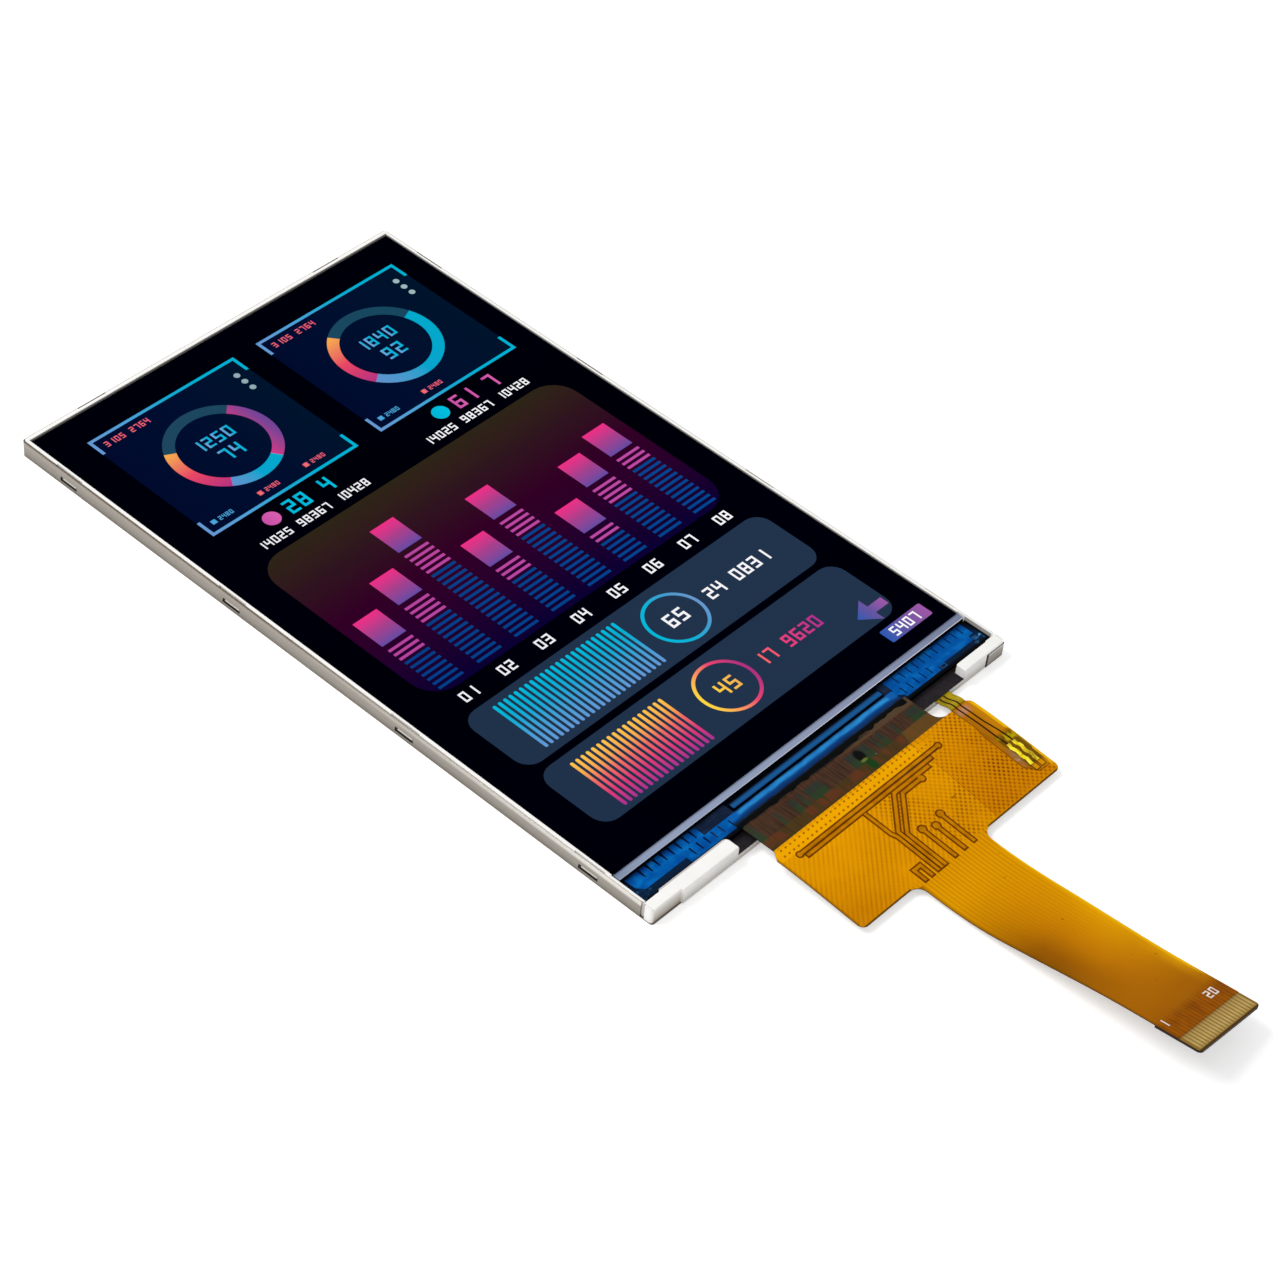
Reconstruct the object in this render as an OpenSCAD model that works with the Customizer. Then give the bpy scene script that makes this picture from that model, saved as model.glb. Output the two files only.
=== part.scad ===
// Small colour TFT display module, lying on its back, screen up.
// +X runs along the short side, +Y points to the top of the screen and the
// flex leaves at -Y. The origin is the centre of the tray's back face.

/* [Module] */
// Width of the module over the steel tray
module_w = 57.14; // [52:0.01:66]
// Length of the module without its flex
module_l = 96.85; // [90:0.01:110]
// Outer radius of the tray's two upper corners
corner_r = 0.4; // [0.3:0.05:0.8]

/* [Steel tray] */
// Thickness of the tray's sheet
steel_t = 0.15; // [0.1:0.01:0.2]
// Height of the frame's rim that shows above the tray's walls
rim_reveal = 0.15; // [0.1:0.01:0.4]
// Clearance between the tray's walls and the frame
tray_gap = 0.03; // [0.02:0.01:0.06]
// Length of a clip window
window_w = 2.6; // [2:0.1:3.4]
// Height of a clip window
window_h = 0.55; // [0.4:0.05:0.7]
// Lower edge of the clip windows above the back
window_z = 0.55; // [0.4:0.05:0.7]
// Spacing of the clip windows along each side
side_window_pitch = 26.6; // [20:0.1:27]
// Middle of the side windows above the centre line
side_window_y = 0.65; // [0:0.05:1]
// Clip windows on each side
side_windows = 4; // [2:1:4]
// Spacing of the two clip windows in the top wall
top_window_pitch = 36.8; // [24:0.1:40]
// Distance of a side wall's lower end from the lower corner
wall_setback = 1.9; // [1.6:0.05:2.4]
// Width of the tab folded up over the lower right corner
tab_w = 2.9; // [2:0.1:4]
// Distance of that tab from the side of the module
tab_inset = 0.17; // [0.1:0.01:0.4]
// Height of that tab's top edge under the rails' top
tab_drop = 0.2; // [0.15:0.05:0.5]
// Setback of the tray's lower edge from the frame's end face
floor_setback = 0.2; // [0.1:0.05:0.4]

/* [Moulded frame] */
// Width of the rim's top face along the sides
side_rim = 0.35; // [0.25:0.05:0.5]
// Width of the rim's top face along the top
top_rim = 0.5; // [0.4:0.05:0.8]
// Width of the rim beside the contact ledge
ledge_rim = 0.22; // [0.15:0.01:0.25]
// Width of the frame's bar under the glass along the sides
side_bar = 1.55; // [1.2:0.05:2]
// Width of the frame's bar under the glass along the top
top_bar = 2.15; // [1.8:0.05:2.6]
// Depth of the two rails at the lower end
rail_depth = 1.7; // [1.3:0.01:1.8]
// Step in a rail's inner edge near its corner
rail_jog = 0.25; // [0.1:0.05:0.3]
// Length of that stepped stretch from the module's side
rail_jog_l = 2.4; // [1.5:0.1:3.5]
// Reach of the left rail's lip over the glass
rail_lip = 0.2; // [0.1:0.05:0.25]
// Drop of the rails' top face under the rim's top face
rail_drop = 0.12; // [0.05:0.01:0.2]
// Distance of the left rail's round end from the module's side
left_rail_l = 12.87; // [10:0.01:14]
// Distance of the right rail's bevelled end from the module's side
right_rail_l = 7; // [6:0.1:8]
// Bevel of the right rail's end
rail_bevel = 0.5; // [0.3:0.1:0.8]
// Radius of the left rail's end
rail_end_r = 0.6; // [0.3:0.05:0.75]
// Width of the bare recess in the lower left corner's end face
recess_w = 4.4; // [3:0.1:5]
// Depth of that bare recess
recess_depth = 0.32; // [0.2:0.01:0.5]
// Length of the two corner posts along the module's sides
post_l = 1.35; // [1:0.05:1.5]
// Bevel of the end face's upper edge
end_bevel = 0.12; // [0.05:0.01:0.14]
// Length of the relief behind each clip
relief_w = 4.2; // [3.6:0.1:5]
// Depth of that relief in the rim
relief_depth = 0.12; // [0.08:0.01:0.16]

/* [Backlight] */
// Thickness of the reflector film
reflector_t = 0.06; // [0.04:0.01:0.1]
// Thickness of the light guide plate
guide_t = 0.5; // [0.4:0.05:0.7]
// Thickness of the diffuser film
diffuser_t = 0.06; // [0.04:0.01:0.1]
// Thickness of each prism film
prism_t = 0.06; // [0.04:0.01:0.1]
// Free height over the upper prism film
film_clear = 0.05; // [0.03:0.01:0.1]
// Clearance round the light guide plate and the films
guide_gap = 0.1; // [0.05:0.05:0.2]
// Length of the lamp channel between the light guide plate and the lower wall
lamp_channel = 1.5; // [1.3:0.1:1.8]
// Number of lamps
lamps = 8; // [6:1:10]
// Spacing of the lamps
lamp_pitch = 5.6; // [4.2:0.1:5.6]
// Length of a lamp
lamp_w = 3; // [2:0.1:3.8]
// Depth of a lamp
lamp_d = 0.8; // [0.6:0.05:1]
// Thickness of the black rim tape
tape_t = 0.06; // [0.04:0.01:0.1]
// Width of the rim tape over the films
tape_lap = 0.6; // [0.4:0.1:1]

/* [Glass] */
// Thickness of each sheet of glass
glass_t = 0.5; // [0.3:0.05:0.6]
// Gap between the glass and the rim along the sides
glass_side_gap = 0.14; // [0.08:0.01:0.25]
// Gap between the glass and the rim along the top
glass_top_gap = 0.25; // [0.1:0.05:0.4]
// Gap between the glass and the rails
glass_rail_gap = 0.1; // [0.05:0.01:0.15]
// Length of the array glass's ledge below the upper glass
ledge_l = 3.65; // [3.4:0.05:4.6]
// Height of the cell between the two sheets of glass
cell_t = 0.02; // [0.01:0.005:0.03]
// Width of the cell's seal
seal_w = 0.9; // [0.6:0.1:1.5]
// Thickness of each polarizer
polarizer_t = 0.12; // [0.1:0.01:0.2]
// Setback of the polarizers from the glass along three sides
polarizer_inset = 0.14; // [0.1:0.01:0.4]
// Setback of the polarizers from the upper glass's lower edge
polarizer_setback = 0.92; // [0.6:0.01:1.4]

/* [Contact ledge] */
// Length of the driver chip
chip_l = 24.2; // [20:0.1:25.5]
// Width of the driver chip
chip_w = 0.72; // [0.6:0.01:0.8]
// Height of the driver chip
chip_h = 0.25; // [0.2:0.01:0.3]
// Offset of the driver chip from the centre line
chip_x = 0.3; // [-1:0.1:1]
// Distance of the driver chip from the upper glass
chip_gap = 0.6; // [0.5:0.05:0.8]
// Thickness of the bond films on the ledge
bond_t = 0.02; // [0.01:0.005:0.03]
// Thickness of the conductors on the ledge
conductor_t = 0.01; // [0.005:0.005:0.02]
// Dark fingers in the row beside the upper glass, to the right
upper_fingers = 11; // [8:1:11]
// Dark fingers in the row beside the flex, on each side
lower_fingers = 5; // [3:1:6]
// Spacing of the fingers
finger_pitch = 1.11; // [0.9:0.01:1.15]
// Width of a finger
finger_w = 0.14; // [0.1:0.01:0.2]
// Width of the sealant bead
bead_w = 1.4; // [0.8:0.1:1.4]
// Height of the sealant bead
bead_h = 0.14; // [0.08:0.01:0.2]

/* [Main flex] */
// Thickness of the flex's base film
base_t = 0.06; // [0.05:0.01:0.1]
// Thickness of the flex's cover film
cover_t = 0.05; // [0.03:0.01:0.08]
// Height of the copper tracks that stand through the cover film
track_t = 0.02; // [0.015:0.005:0.04]
// Width of the bonded end of the flex
bond_w = 27.2; // [25:0.1:28]
// Offset of the flex's bonded end from the centre line
bond_x = 0.45; // [-1:0.05:1]
// Length of the bonded strip on the ledge
bond_l = 0.6; // [0.5:0.05:0.9]
// Distance of the flex body's upper edge from the module
body_gap = 2.55; // [2.4:0.05:3]
// Length of the flex body
body_l = 12.85; // [12:0.05:15]
// Left edge of the flex body from the centre line
body_left = 13.95; // [13.8:0.05:15]
// Right edge of the flex body from the centre line
body_right = 18.95; // [18.9:0.05:21]
// Corner radius of the flex body
body_r = 0.8; // [0.4:0.05:1.2]
// Width of the tail
tail_w = 10.6; // [10.5:0.05:11.2]
// Length of the tail below the flex body
tail_l = 35.1; // [30:0.1:40]
// Offset of the tail from the centre line
tail_x = 0.15; // [-1:0.05:1]
// Radius between the flex body and the tail
tail_r = 1.3; // [0.5:0.1:1.6]
// Height of the flex's lowest point over the back
dip_z = 0.6; // [0.6:0.05:0.9]
// Length of the fall from the flex body's edge to the lowest point
dip_l = 17; // [15:0.5:19]
// Upward slope of the tail's outer stretch
rise = 0.135; // [0:0.005:0.2]
// Length over which the tail bends into that slope
rise_bend = 6; // [4:0.5:8]
// Sideways lean of the contact end, as height over width
lean = 0.16; // [0:0.01:0.2]
// Thickness of the dark tape under the bonded end
backing_t = 0.05; // [0.03:0.01:0.08]

/* [Contact end] */
// Contacts on the tail's end
contacts = 20; // [8:1:20]
// Spacing of the contacts
contact_pitch = 0.5; // [0.4:0.05:0.5]
// Width of a contact
contact_w = 0.34; // [0.2:0.01:0.36]
// Length of the bare contacts
contact_l = 2.35; // [2:0.05:4]
// Thickness of the contacts' plating over the base film
contact_t = 0.03; // [0.02:0.005:0.05]
// Setback of the contacts from the tail's end
contact_setback = 0.3; // [0.1:0.05:0.4]
// Radius of the tail's two end corners
tail_corner_r = 0.5; // [0.2:0.05:0.6]
// Length of the stiffener
stiffener_l = 5.5; // [5:0.1:8]
// Thickness of the stiffener
stiffener_t = 0.3; // [0.15:0.01:0.4]
// Height of the two pin numbers
pin_figure_h = 1.1; // [0.8:0.1:1.4]

/* [Backlight flex] */
// Thickness of the backlight flex
lamp_flex_t = 0.08; // [0.06:0.01:0.1]
// Width of the backlight flex's arm where it leaves the module
arm_w = 2.3; // [2:0.1:2.4]
// Offset of the arm from the centre line
arm_x = 17.8; // [17.5:0.05:17.9]
// Bulge of the arm to the left beside its solder pads
arm_swell = 0.95; // [0.7:0.05:1.1]
// Length of the arm over the flex body
arm_l = 11.7; // [10:0.1:12]
// Spacing of the arm's two solder pads
pad_pitch = 0.95; // [0.8:0.05:1]
// Width of a solder pad
pad_w = 0.5; // [0.3:0.05:0.6]
// Length of a solder pad
pad_l = 3.5; // [2:0.1:4]

/* [Picture] */
// Thickness of the lit areas
light_t = 0.015; // [0.01:0.005:0.02]
// Left edge of the picture from the centre line
picture_left = 23.8; // [22:0.1:25]
// Right edge of the picture from the centre line
picture_right = 24.6; // [22:0.1:25]
// Length of the touch key
key_l = 6.8; // [6:0.1:7.5]
// Distance from the touch key to the screen's right edge
key_inset = 1.85; // [1.5:0.05:2.5]
// Distance of the picture's top from the polarizer's top edge
picture_top = 4.1; // [3:0.1:5]
// Height of a gauge card
card_h = 21.3; // [20:0.1:22]
// Gap between the two gauge cards
card_gap = 3.2; // [2:0.1:5]
// Width of a card's bracket lines
bracket_t = 0.4; // [0.2:0.05:0.6]
// Length of a bracket's short legs
bracket_leg = 2.7; // [1.5:0.1:5]
// Outer radius of a gauge ring
gauge_r = 6.9; // [5:0.05:7.2]
// Width of a gauge ring
gauge_band = 1.45; // [0.8:0.05:2]
// Height of the chart's field
chart_h = 27.8; // [27:0.1:28.5]
// Distance between the cards and the chart's field
chart_gap = 6.5; // [6.2:0.1:7.5]
// Corner radius of the chart's field
chart_r = 3.6; // [1:0.1:4]
// Spacing of the chart's columns
column_pitch = 5.8; // [4.8:0.05:5.8]
// Width of a chart column
column_w = 3.6; // [2.4:0.1:4]
// Spacing of the bars in a column
bar_pitch = 0.84; // [0.6:0.01:0.86]
// Height of a bar in a column
bar_h = 0.38; // [0.2:0.01:0.5]
// Height of a column's cap
cap_h = 4.6; // [2:0.1:4.8]
// Height of a progress field
progress_h = 10; // [9:0.1:10.4]
// Corner radius of a progress field
progress_corner = 2.1; // [1:0.1:4]
// Distance between the chart's field and the first progress field
progress_gap = 3.8; // [3.5:0.1:4.5]
// Distance from one progress field to the next
progress_step = 11; // [10.6:0.1:11.4]
// Spacing of the progress bars
progress_pitch = 0.8; // [0.7:0.01:0.82]
// Width of a progress bar
progress_w = 0.42; // [0.3:0.01:0.55]
// Outer radius of a progress ring
progress_r = 3.9; // [3:0.1:4]
// Height of the large figures
figure_h = 2.2; // [1.5:0.1:2.4]

/* [Hidden] */
$fn = 64;

half_w = module_w / 2;
half_l = module_l / 2;
end_y = -half_l;

// Heights of the stack, from the back upwards
guide_z = steel_t + reflector_t;
diffuser_z = guide_z + guide_t;
lower_prism_z = diffuser_z + diffuser_t;
upper_prism_z = lower_prism_z + prism_t;
shelf_z = upper_prism_z + prism_t + film_clear;
tape_z = shelf_z + tape_t;
array_z = tape_z + polarizer_t;
ledge_z = array_z + glass_t;
filter_z = ledge_z + cell_t;
front_z = filter_z + glass_t;
screen_z = front_z + polarizer_t;
lit_z = screen_z + light_t;
rim_z = lit_z + light_t;
rail_z = rim_z - rail_drop;
wall_z = rim_z - rim_reveal;

// Frame
frame_x = half_w - steel_t - tray_gap;
frame_y = half_l - steel_t - tray_gap;
rim_in_x = frame_x - side_rim;
rim_in_y = frame_y - top_rim;
bar_in_x = frame_x - side_bar;
bar_in_y = frame_y - top_bar;
rail_in_y = end_y + rail_depth;
jog_y = rail_in_y - rail_jog;
left_rail_x = -half_w + left_rail_l;
right_rail_x = half_w - right_rail_l;
wall_end_y = end_y + wall_setback;

// Glass
glass_x = rim_in_x - glass_side_gap;
glass_top = rim_in_y - glass_top_gap;
array_end = rail_in_y + glass_rail_gap;
filter_end = array_end + ledge_l;
polarizer_x = glass_x - polarizer_inset;
polarizer_top = glass_top - polarizer_inset;
polarizer_end = filter_end + polarizer_setback;

// Backlight
guide_x = bar_in_x - guide_gap;
guide_top = bar_in_y - guide_gap;
lower_wall_y = jog_y - guide_gap;
guide_end = lower_wall_y + lamp_channel;
film_end = guide_end + tape_lap;
lamp_flex_z = shelf_z - lamp_flex_t - film_clear;
strip_x = lamp_pitch * (lamps - 1) / 2 + lamp_w;

// Contact ledge
chip_y1 = filter_end - chip_gap;
chip_y0 = chip_y1 - chip_w;
chip_x0 = chip_x - chip_l / 2;
chip_x1 = chip_x + chip_l / 2;
finger_x = chip_l / 2 + 2.65;
conductor_z = ledge_z + conductor_t;
bond_end = array_end + bond_l;
field_x = glass_x - 0.62;
field_top = filter_end - 0.08;

// Flex
flex_z0 = ledge_z + bond_t;
flex_top_t = base_t + cover_t;
bond_left = bond_x - bond_w / 2;
bond_right = bond_x + bond_w / 2;
tail_left = tail_x - tail_w / 2;
tail_right = tail_x + tail_w / 2;
cover_y = end_y - body_gap;
body_end = cover_y - body_l;
tail_end = body_end - tail_l;
fall_y = cover_y - 0.5;
dip_y = fall_y - dip_l;
lean_y = dip_y - 2;
lean_l = 20;
station_pitch = 1.25;
arm_left = arm_x - arm_w / 2;
arm_right = arm_x + arm_w / 2;
arm_end = cover_y - arm_l;
stiffener_y = tail_end + stiffener_l;
contact_y0 = tail_end + contact_setback;
contact_y1 = contact_y0 + contact_l;

// Picture
card_w = (picture_left + picture_right - card_gap) / 2;
cards_y1 = polarizer_top - picture_top;
cards_y0 = cards_y1 - card_h;
cards_x = [-picture_left, picture_right - card_w];
chart_y1 = cards_y0 - chart_gap;
chart_y0 = chart_y1 - chart_h;
progress_y = chart_y0 - progress_gap - progress_h;
field_right = picture_right - 0.7;
chart_x = (field_right - picture_left + 0.3) / 2;
// Blue bars, pink bars in each of the chart's columns
columns = [[7, 3], [10, 4], [16, 5], [8, 3], [13, 4], [5, 2], [9, 4], [12, 3]];
gauge_x = [cards_x[0] + card_w / 2 - 0.08, cards_x[1] + card_w / 2 + 0.14];
gauge_y = [for (rise = [-0.12, 0.22]) (cards_y0 + cards_y1) / 2 + rise];
ring_x = [chart_x + 4.28, chart_x + 0.6];
ring_y = [progress_y + progress_h / 2 - 0.2, progress_y - progress_step + progress_h / 2];
ring_t = 0.42;

// ---- plain helpers -------------------------------------------------------

// Points of an arc about c from angle a0 to a1
function arc(c, r, a0, a1, steps = 6) =
    [for (i = [0:steps]) c + r * [cos(a0 + (a1 - a0) * i / steps), sin(a0 + (a1 - a0) * i / steps)]];

// Outline of a rectangle whose corners have radius r
function round_box(x0, y0, x1, y1, r) = concat(
    arc([x1 - r, y1 - r], r, 0, 90),
    arc([x0 + r, y1 - r], r, 90, 180),
    arc([x0 + r, y0 + r], r, 180, 270),
    arc([x1 - r, y0 + r], r, 270, 360));

module slab(x0, y0, x1, y1, z0, z1) {
    translate([x0, y0, z0]) cube([x1 - x0, y1 - y0, z1 - z0]);
}

module round_slab(x0, y0, x1, y1, r, z0, z1) {
    translate([0, 0, z0]) linear_extrude(z1 - z0) polygon(round_box(x0, y0, x1, y1, r));
}

// ---- tray and frame ------------------------------------------------------

// Centres of the clip windows along a side, and along the top
function side_clips() =
    [for (i = [0:side_windows - 1]) side_window_y + (i - (side_windows - 1) / 2) * side_window_pitch];
function top_clips() = [-top_window_pitch / 2, top_window_pitch / 2];

// Body of w by h at every clip, reaching from out to depth inwards
module at_clips(w, h, z, out, depth) {
    for (y = side_clips()) {
        slab(-half_w + out, y - w / 2, -half_w + out + depth, y + w / 2, z, z + h);
        slab(half_w - out - depth, y - w / 2, half_w - out, y + w / 2, z, z + h);
    }
    for (x = top_clips())
        slab(x - w / 2, half_l - out - depth, x + w / 2, half_l - out, z, z + h);
}

module steel_tray() {
    color([0.67, 0.65, 0.61]) {
        difference() {
            round_slab(-half_w, end_y + floor_setback, half_w, half_l, corner_r, 0, wall_z);
            round_slab(-half_w + steel_t, end_y - 1, half_w - steel_t, half_l - steel_t,
                corner_r - steel_t, steel_t, wall_z + 1);
            slab(-half_w - 1, end_y - 1, half_w + 1, wall_end_y, steel_t, wall_z + 1);
            at_clips(window_w, window_h, window_z, -1, 1 + 2 * steel_t);
        }
        slab(half_w - tab_inset - tab_w, end_y, half_w - tab_inset, end_y + steel_t, 0, rail_z - tab_drop);
        slab(half_w - tab_inset - tab_w, end_y, half_w - tab_inset, end_y + 2 * floor_setback,
            0, steel_t);
    }
}

// Outline of a rail at the lower end, from its corner to its free end
module left_rail_outline() {
    polygon(concat(
        [[-frame_x, end_y], [-frame_x, jog_y], [-half_w + rail_jog_l, jog_y],
            [-half_w + rail_jog_l + rail_jog, rail_in_y]],
        arc([left_rail_x - rail_end_r, rail_in_y - rail_end_r], rail_end_r, 90, 0),
        [[left_rail_x, end_y]]));
}

module right_rail_outline() {
    polygon([[frame_x, end_y], [frame_x, jog_y], [half_w - rail_jog_l, jog_y],
        [half_w - rail_jog_l - rail_jog, rail_in_y], [right_rail_x + rail_bevel, rail_in_y],
        [right_rail_x, rail_in_y - rail_bevel], [right_rail_x, end_y]]);
}

// Prism that rounds the outer upright edge of a lower corner at x = side * half_w, and y
module edge_cut(side, y) {
    translate([side * (half_w - corner_r), y + corner_r, -1])
        linear_extrude(rim_z + 2)
            difference() {
                translate([side > 0 ? 0 : -corner_r - 1, -corner_r - 1]) square(corner_r + 1);
                circle(corner_r);
            }
}

module mould_frame() {
    hook_clear = 0.08;
    tab_clear = 0.06;
    tab_gap = 0.16;
    post_y = end_y + post_l;
    tab_recess_y = end_y + steel_t + tray_gap;
    lip_z = ledge_z + 0.15;
    color([0.96, 0.96, 0.94]) {
        difference() {
            union() {
                round_slab(-frame_x, end_y, frame_x, frame_y, corner_r - steel_t, steel_t, rim_z);
                slab(frame_x - ledge_rim, end_y, half_w, post_y, steel_t, rail_z);
                slab(-half_w, end_y, -frame_x + ledge_rim, post_y, steel_t, rail_z);
            }
            // Room over the shelf for the glass
            slab(-rim_in_x, filter_end, rim_in_x, rim_in_y, shelf_z, rim_z + 1);
            slab(-frame_x + ledge_rim, rail_in_y, frame_x - ledge_rim, filter_end + 1, shelf_z, rim_z + 1);
            slab(-half_w - 1, end_y - 1, half_w + 1, rail_in_y, rail_z, rim_z + 1);
            // Everything between the rails, down to the low wall
            difference() {
                slab(-frame_x + ledge_rim, end_y - 1, frame_x - ledge_rim, rail_in_y + 1,
                    shelf_z, rim_z + 1);
                translate([0, 0, shelf_z - 1]) linear_extrude(rim_z) {
                    left_rail_outline();
                    right_rail_outline();
                }
            }
            // Window for the light guide plate and the lamps
            slab(-bar_in_x, lower_wall_y, bar_in_x, bar_in_y, -1, rim_z + 1);
            // Way out for the arm of the backlight flex
            slab(arm_left - guide_gap, end_y - 1, arm_right + guide_gap, jog_y,
                lamp_flex_z - tray_gap, rail_z);
            // Recesses of the lower corners
            slab(-half_w - 1, end_y - 1, -half_w + recess_w, end_y + recess_depth, -1, rim_z + 1);
            slab(half_w - tab_inset - tab_w - tab_gap, end_y - 1, half_w + 1, tab_recess_y,
                -1, rail_z - tab_drop + tab_clear);
            edge_cut(-1, end_y + recess_depth);
            edge_cut(1, tab_recess_y);
            // Bevel of the end face's upper edge
            translate([-half_w - 1, 0, 0]) rotate([90, 0, 90]) linear_extrude(module_w + 2)
                polygon([[end_y - 1, rail_z - end_bevel - 1], [end_y + end_bevel + 1, rail_z + 1],
                    [end_y - 1, rail_z + 1]]);
            // Relief in the rim behind each clip
            at_clips(relief_w, rim_z, window_z + window_h + hook_clear, steel_t + tray_gap - 1,
                1 + relief_depth);
        }
        // Lip of the left rail over the glass
        translate([0, 0, lip_z]) linear_extrude(rail_z - lip_z) intersection() {
            translate([0, rail_lip]) left_rail_outline();
            translate([-frame_x + ledge_rim - 0.1, rail_in_y - 0.6])
                square([left_rail_l, 0.6 + rail_lip + 1]);
        }
        // Hooks that snap into the tray's windows
        at_clips(window_w - 2 * hook_clear, window_h - 2 * hook_clear, window_z + hook_clear,
            hook_clear / 2, steel_t + tray_gap);
    }
}

// ---- backlight -----------------------------------------------------------

module film(z, t, end) {
    slab(-guide_x, end, guide_x, guide_top, z, z + t);
}

module reflector_film() {
    color([0.93, 0.94, 0.95]) film(steel_t, reflector_t, lower_wall_y + guide_gap);
}

module light_guide_plate() {
    color([0.86, 0.92, 0.95]) film(guide_z, guide_t, guide_end);
}

module diffuser_film() {
    color([0.94, 0.94, 0.92]) film(diffuser_z, diffuser_t, film_end);
}

module lower_prism_film() {
    color([0.85, 0.87, 0.9]) film(lower_prism_z, prism_t, film_end);
}

module upper_prism_film() {
    color([0.8, 0.83, 0.88]) film(upper_prism_z, prism_t, film_end);
}

module backlight_leds() {
    lamp_y = guide_end - guide_gap - lamp_d;
    color([0.98, 0.93, 0.62])
        for (i = [0:lamps - 1])
            slab((i - (lamps - 1) / 2) * lamp_pitch - lamp_w / 2, lamp_y,
                (i - (lamps - 1) / 2) * lamp_pitch + lamp_w / 2, lamp_y + lamp_d, guide_z, lamp_flex_z);
}

module rim_tape() {
    lap_x = guide_x - tape_lap;
    color([0.1, 0.09, 0.1])
        difference() {
            union() {
                slab(-rim_in_x, jog_y, rim_in_x, rim_in_y, shelf_z, tape_z);
                slab(left_rail_x + tray_gap, end_y + tray_gap, right_rail_x - tray_gap, jog_y + tray_gap,
                    shelf_z, tape_z);
            }
            slab(-lap_x, film_end + tape_lap, lap_x, guide_top - tape_lap, shelf_z - 1, tape_z + 1);
            // Clear of the rails' inner edges
            translate([0, 0, shelf_z - 1]) linear_extrude(2) {
                left_rail_outline();
                right_rail_outline();
            }
        }
}

// ---- glass ---------------------------------------------------------------

module rear_polarizer() {
    color([0.13, 0.13, 0.17])
        slab(-polarizer_x, polarizer_end, polarizer_x, polarizer_top, tape_z, array_z);
}

module array_glass() {
    color([0.1, 0.3, 0.55]) slab(-glass_x, array_end, glass_x, glass_top, array_z, ledge_z);
}

module cell_seal() {
    color([0.2, 0.2, 0.22])
        difference() {
            slab(-glass_x, filter_end, glass_x, glass_top, ledge_z, filter_z);
            slab(-glass_x + seal_w, filter_end + seal_w, glass_x - seal_w, glass_top - seal_w,
                ledge_z - 1, filter_z + 1);
        }
}

module liquid_crystal_layer() {
    color([0.25, 0.25, 0.3])
        slab(-glass_x + seal_w, filter_end + seal_w, glass_x - seal_w, glass_top - seal_w,
            ledge_z, filter_z);
}

module colour_filter_glass() {
    color([0.6, 0.65, 0.75]) slab(-glass_x, filter_end, glass_x, glass_top, filter_z, front_z);
}

module front_polarizer() {
    color([0.02, 0.02, 0.03])
        slab(-polarizer_x, polarizer_end, polarizer_x, polarizer_top, front_z, screen_z);
}

// ---- contact ledge -------------------------------------------------------

module driver_chip() {
    color([0.07, 0.2, 0.4])
        slab(chip_x0, chip_y0, chip_x1, chip_y1, ledge_z + bond_t, ledge_z + bond_t + chip_h);
}

module chip_bond_film() {
    margin = 0.15;
    color([0.03, 0.05, 0.1])
        slab(chip_x0 - margin, chip_y0 - margin, chip_x1 + margin, chip_y1 + margin,
            ledge_z, ledge_z + bond_t);
}

// Dark pads beside the chip, as [x0, x1]
ledge_pads = [[chip_x0 - 4.8, chip_x0 - 0.25], [chip_x1 + 0.4, chip_x1 + 1.4]];
pads_y0 = chip_y0 - 0.12;

// Fields of fan-out conductors to the left and right of the chip
module ledge_conductors() {
    foot_y = array_end + 1.3;
    deep_y = array_end + 0.5;
    step_x = chip_l / 2 + 8.2;
    corner = 0.8;
    clear = 0.06;
    color([0, 0.38, 0.75])
        translate([0, 0, ledge_z]) linear_extrude(conductor_t) {
            polygon([[-field_x, field_top], [-field_x + 0.1, foot_y + corner], [-field_x + corner, foot_y],
                [-step_x, foot_y], [-step_x, deep_y], [bond_left - 0.3, deep_y],
                [bond_left - 0.3, deep_y + 1.25], [chip_x0 + 0.05, deep_y + 1.25],
                [chip_x0 + 0.05, chip_y0 - 0.2], [ledge_pads[0][0] - clear, chip_y0 - 0.2],
                [ledge_pads[0][0] - clear, field_top]]);
            polygon([[field_x, field_top], [field_x, foot_y + corner / 2],
                [field_x - corner, foot_y + corner / 2], [field_x - corner, foot_y - 0.3],
                [step_x, foot_y - 0.3], [step_x, deep_y - 0.05],
                [bond_right + 0.35, deep_y - 0.05], [bond_right + 0.35, deep_y + 0.3],
                [bond_right - 0.3, foot_y], [chip_x1 + 0.2, foot_y], [chip_x1 + 0.2, pads_y0 - 0.2],
                [ledge_pads[1][1] + clear, pads_y0 - 0.2], [ledge_pads[1][1] + clear, field_top]]);
        }
}

// Finger centred on x that hangs down from y, w0 wide at the top and w1 at the foot
module finger(x, y, w0, w1, l) {
    polygon([[x - w0 / 2, y], [x + w0 / 2, y], [x + w1 / 2, y - l], [x - w1 / 2, y - l]]);
}

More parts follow.
